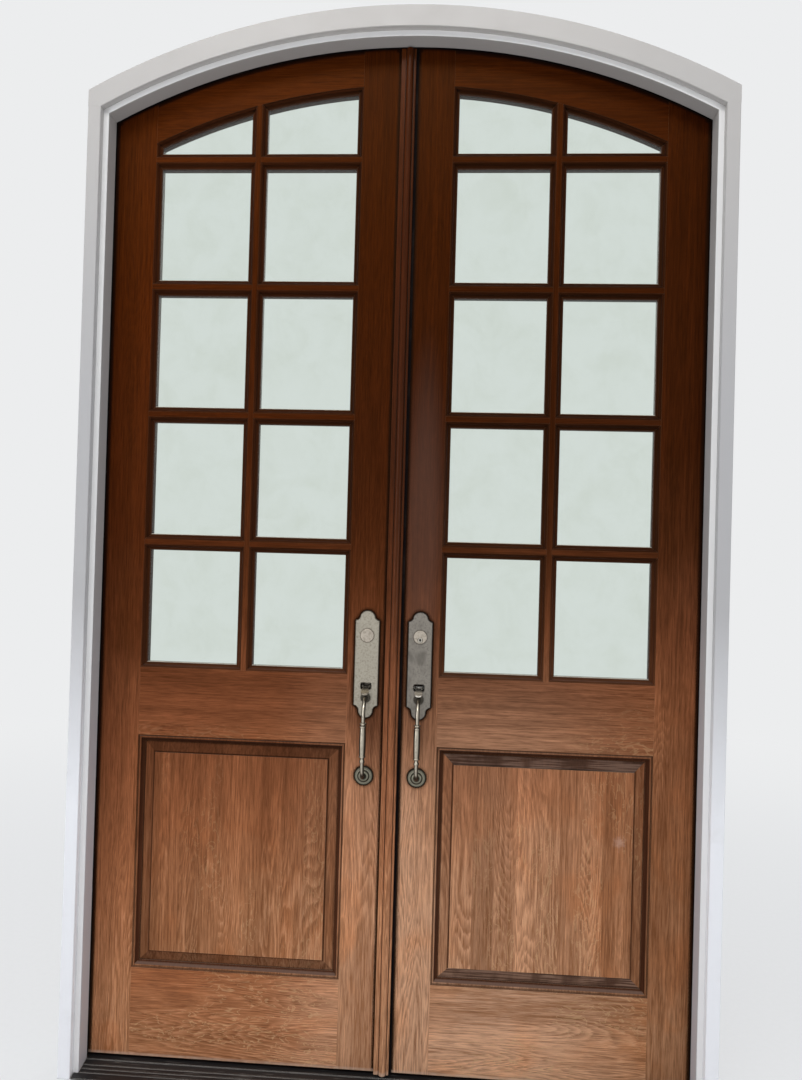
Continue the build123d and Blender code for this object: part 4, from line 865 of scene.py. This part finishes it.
def slotted_head(radius=0.0042, rise=0.0009, slot=0.0005, wall=0.00015, depth=0.0006):
    """Low domed screw head about Z, with a slot along X."""
    head = bmesh.new()
    angles = (0.0, 0.4, 0.8, 1.2, 1.5, 1.5708)
    profile = [head.verts.new((radius * math.sin(a), 0.0, rise * math.cos(a))) for a in angles]
    edges = [head.edges.new(pair) for pair in zip(profile, profile[1:])]
    turn = {"cent": (0, 0, 0), "axis": (0, 0, 1), "angle": 2 * math.pi, "steps": 24, "use_merge": True}
    bmesh.ops.spin(head, geom=profile + edges, **turn)
    bmesh.ops.remove_doubles(head, verts=head.verts, dist=1e-6)
    for offset in (slot, slot + wall, -slot, -slot - wall):
        everything = head.verts[:] + head.edges[:] + head.faces[:]
        bmesh.ops.bisect_plane(head, geom=everything, plane_co=(0, offset, 0), plane_no=(0, 1, 0))
    for vertex in head.verts:
        if abs(vertex.co.y) < slot + wall / 2:
            vertex.co.z -= depth
    bmesh.ops.recalc_face_normals(head, faces=head.faces)
    return head


def screws(name, body, slot, outward, places):
    """One mesh of screw heads, each turned a little differently, on faces that look outward."""
    head = slotted_head()
    template = bpy.data.meshes.new(name + "_head")
    head.to_mesh(template)
    head.free()
    turned_out = Vector(outward).to_track_quat("Z", "Y").to_matrix().to_4x4()
    together = bmesh.new()
    for index, place in enumerate(places):
        before = len(together.verts)
        together.from_mesh(template)
        together.verts.ensure_lookup_table()
        twist = Matrix.Rotation(0.7 * index + 0.3, 4, "Z")
        moved = Matrix.Translation(place) @ turned_out @ twist
        bmesh.ops.transform(together, matrix=moved, verts=together.verts[before:])
    mesh = bpy.data.meshes.new(name)
    together.to_mesh(mesh)
    together.free()
    bpy.data.meshes.remove(template)
    return piece(name, mesh, body, slot)


# Hinge screws: four hinges on each leaf, with four screws in each plate (inwards from the leaf's back, up)
hinge_tall = 0.114
rabbet_width = 0.0127
plate_screws = [(0.010, 0.043), (0.024, 0.017), (0.010, -0.017), (0.024, -0.043)]
first_hinge = low_end("right_hinges", "Z") + hinge_tall / 2
last_hinge = high_end("right_hinges", "Z") - hinge_tall / 2
hinge_middles = [first_hinge + (last_hinge - first_hinge) * index / 3 for index in range(4)]
hinge_screws = [(leaf_back - inwards, z + up) for z in hinge_middles for inwards, up in plate_screws]
rabbet_x = low_end("right_jamb", "X") + rabbet_width
for side, sign in (("right", 1), ("left", -1)):
    leaf_places = [(sign * hinge_edge, y, z) for y, z in hinge_screws]
    jamb_places = [(sign * rabbet_x, y, z) for y, z in hinge_screws]
    screws(f"{side}_leaf_hinge_screws", f"{side}_leaf", "dark_bronze", (sign, 0, 0), leaf_places)
    screws(f"{side}_jamb_hinge_screws", "frame", "dark_bronze", (-sign, 0, 0), jamb_places)

# Screws in the lock faces, the strikes opposite them and the faces of the flush bolts
lock_face_inset = 0.0285
lock_screw_reach = 0.0225
flush_screw_insets = (0.008, 0.142)
lock_middles = (low_end("lock_cases", "Z") + lock_face_inset, high_end("lock_cases", "Z") - lock_face_inset)
lock_screws = [z + up for z in lock_middles for up in (-lock_screw_reach, lock_screw_reach)]
bottom_flush_screws = [low_end("edge_plates", "Z") + inset for inset in flush_screw_insets]
top_flush_screws = [high_end("edge_plates", "Z") - inset for inset in reversed(flush_screw_insets)]
case_edge, strike_edge = low_end("lock_cases", "X"), high_end("edge_plates", "X")
lock_places = [(case_edge, leaf_centre, z) for z in lock_screws]
strike_places = [(strike_edge, leaf_centre, z) for z in lock_screws + bottom_flush_screws + top_flush_screws]
screws("lock_screws", "right_leaf", "bolt_steel", (-1, 0, 0), lock_places)
screws("strike_screws", "left_leaf", "bolt_steel", (1, 0, 0), strike_places)

# Screws at the two ends of each inside plate
plate_foot_inset = 0.013
plate_head_inset = 0.012
plate_face = high_end("right_inside_plate", "Y")
plate_screw_heights = (
    low_end("right_inside_plate", "Z") + plate_foot_inset,
    high_end("right_inside_plate", "Z") - plate_head_inset,
)
for side, sign in (("right", 1), ("left", -1)):
    ends = [(sign * centre("right_inside_plate", "X"), plate_face, z) for z in plate_screw_heights]
    screws(f"{side}_plate_screws", f"{side}_leaf", "grip_nickel", (0, 1, 0), ends)


def outlines(mesh, outward):
    """Rings of (x, z) points round each flat island of a mesh that faces outward."""
    flat = bmesh.new()
    flat.from_mesh(mesh)
    flat.faces.ensure_lookup_table()
    front = {face for face in flat.faces if face.normal.dot(outward) > 0.99}
    following = {}
    for face in front:
        for loop in face.loops:
            if sum(other in front for other in loop.edge.link_faces) == 1:
                following[loop.vert] = loop.link_loop_next.vert
    rings = []
    while following:
        ring = [next(iter(following))]
        while ring[-1] in following:
            ring.append(following.pop(ring[-1]))
        rings.append([(vertex.co.x, vertex.co.z) for vertex in ring[:-1]])
    flat.free()
    return rings


def drawn_in(ring, distance):
    """The same ring moved inwards by a distance, with mitred corners."""
    area = sum(a[0] * b[1] - b[0] * a[1] for a, b in zip(ring, ring[1:] + ring[:1]))
    side = math.copysign(1.0, area)
    points = [Vector(point) for point in ring]
    moved = []
    for before, here, after in zip(points[-1:] + points[:-1], points, points[1:] + points[:1]):
        arriving, leaving = (here - before).normalized(), (after - here).normalized()
        inward = [Vector((-line.y, line.x)) * side for line in (arriving, leaving)]
        between = (inward[0] + inward[1]).normalized()
        moved.append(here + between * distance / between.dot(inward[0]))
    return moved


def glazing_line(name, panes, body, finish, edge=0.0088, width=0.0024, rise=0.0014):
    """Thin fillet of sealant round each pane, between the glass and the wood."""
    face = low_end(panes, "Y")
    profile = ((edge, rise), (edge + width * 0.55, rise * 0.8), (edge + width, 0.0))
    strip = bmesh.new()
    for ring in outlines(parts[panes].data, Vector((0, -1, 0))):
        loops = []
        for inset, out in profile:
            loops.append([strip.verts.new((x, face - out, z)) for x, z in drawn_in(ring, inset)])
        for outer, inner in zip(loops, loops[1:]):
            for index in range(len(ring)):
                back = index - 1
                strip.faces.new((outer[back], outer[index], inner[index], inner[back]))
    bmesh.ops.recalc_face_normals(strip, faces=strip.faces)
    mesh = bpy.data.meshes.new(name)
    strip.to_mesh(mesh)
    strip.free()
    made = piece(name, mesh, body, "white_jamb")
    mesh.materials[0] = finish
    return made


glazing_sealant = sealant("glazing_sealant")
glazing_line("right_glazing_line", "right_panes", "right_leaf", glazing_sealant)
glazing_line("left_glazing_line", "left_panes", "left_leaf", glazing_sealant)

backdrop = srgb(236, 237, 238)


def floor_material(name, near, far):
    """Pale floor that takes shadows near the door and fades into the backdrop further off."""
    material = empty_material(name)
    graph = Graph(material.node_tree)
    position = graph.add("ShaderNodeNewGeometry").outputs["Position"]
    colour = graph.mix(graph.noise(position, 60.0, 3.0), srgb(216, 216, 216), srgb(226, 226, 226))
    body = graph.add("ShaderNodeBsdfDiffuse", {"Color": colour})
    seen = graph.add("ShaderNodeEmission", {"Color": backdrop})
    away = graph.vector("LENGTH", position)["Value"]
    fade = graph.times(graph.seen_straight(), graph.step(away, near, far, 0.6, 1.0))
    both = graph.add("ShaderNodeMixShader", {"Fac": fade})
    graph.feed(both.inputs[1], body.outputs[0])
    graph.feed(both.inputs[2], seen.outputs[0])
    graph.add("ShaderNodeOutputMaterial", {"Surface": both.outputs[0]})
    return material


floor_reach = 14.0
floor_drop = 0.0005
corners = [(x * floor_reach, y * floor_reach, -floor_drop) for x, y in ((-1, -1), (1, -1), (1, 1), (-1, 1))]
floor_mesh = bpy.data.meshes.new("floor")
floor_mesh.from_pydata(corners, [], [(0, 1, 2, 3)])
floor_mesh.materials.append(floor_material("pale_floor", 1.5, 5.0))
floor = bpy.data.objects.new("floor", floor_mesh)
bpy.context.scene.collection.objects.link(floor)

# Soft sky overhead that lights the door, and the plain backdrop that is seen
world = bpy.data.worlds.new("studio")
bpy.context.scene.world = world
world.use_nodes = True
world.node_tree.nodes.clear()
sky = Graph(world.node_tree)
heading = sky.add("ShaderNodeSeparateXYZ", {"Vector": sky.add("ShaderNodeTexCoord").outputs["Generated"]})
overhead = sky.step(heading.outputs["Z"], 0.35, 0.8, 0.25, 0.75)
lit = sky.add("ShaderNodeBackground", {"Color": (0.90, 0.94, 1.0, 1.0), "Strength": overhead})
shown = sky.add("ShaderNodeBackground", {"Color": backdrop, "Strength": 1.0})
blend = sky.add("ShaderNodeMixShader", {"Fac": sky.seen_straight()})
sky.feed(blend.inputs[1], lit.outputs[0])
sky.feed(blend.inputs[2], shown.outputs[0])
sky.add("ShaderNodeOutputWorld", {"Surface": blend.outputs[0]})


def area_light(name, place, target, size, power, colour=(1.0, 1.0, 1.0)):
    """A soft rectangular light aimed at a point."""
    light = bpy.data.lights.new(name, "AREA")
    light.shape = "RECTANGLE"
    light.size, light.size_y = size
    light.energy = power
    light.color = colour
    lamp = bpy.data.objects.new(name, light)
    lamp.location = place
    lamp.rotation_euler = (Vector(target) - Vector(place)).to_track_quat("-Z", "Y").to_euler()
    lamp.visible_camera = False
    lamp.visible_transmission = False
    bpy.context.scene.collection.objects.link(lamp)


warm, cool = (1.0, 0.99, 0.97), (0.97, 0.98, 1.0)
door_middle = (0.0, leaf_front, leaf_top / 2)
area_light("sky_light", (-0.8, -3.4, 5.6), (0.0, 0.0, 0.9), (4.0, 1.3), 110.0, warm)
area_light("side_light", (-4.2, -3.6, 1.5), (0.0, 0.0, 0.8), (1.6, 2.6), 54.0, cool)
area_light("far_side_light", (4.4, -3.2, 1.2), (0.0, 0.0, 0.7), (1.6, 2.4), 40.0, cool)
area_light("back_light", (0.0, 5.0, 4.0), door_middle, (5.0, 3.0), 140.0)

# Camera of the photograph: where it stood, how it was turned, and its focal length in pixels of the picture
camera_place = Vector((0.1472, -2.1925, 1.424))
camera_turn = Vector((0.70, -1.58, 3.54))
focal_pixels = 811
picture_width = 802

camera_data = bpy.data.cameras.new("photo_camera")
camera_data.sensor_fit = "HORIZONTAL"
camera_data.sensor_width = 36.0
camera_data.lens = focal_pixels / picture_width * camera_data.sensor_width
camera = bpy.data.objects.new("photo_camera", camera_data)
turn = Matrix.Rotation(math.radians(camera_turn.length), 3, camera_turn.normalized())
right, ahead, up = (turn.col[index] for index in range(3))
camera_axes = Matrix((right, up, -ahead)).transposed().to_4x4()
camera.matrix_world = Matrix.Translation(camera_place) @ camera_axes
bpy.context.scene.collection.objects.link(camera)
bpy.context.scene.camera = camera

bpy.context.scene.view_settings.view_transform = "Standard"
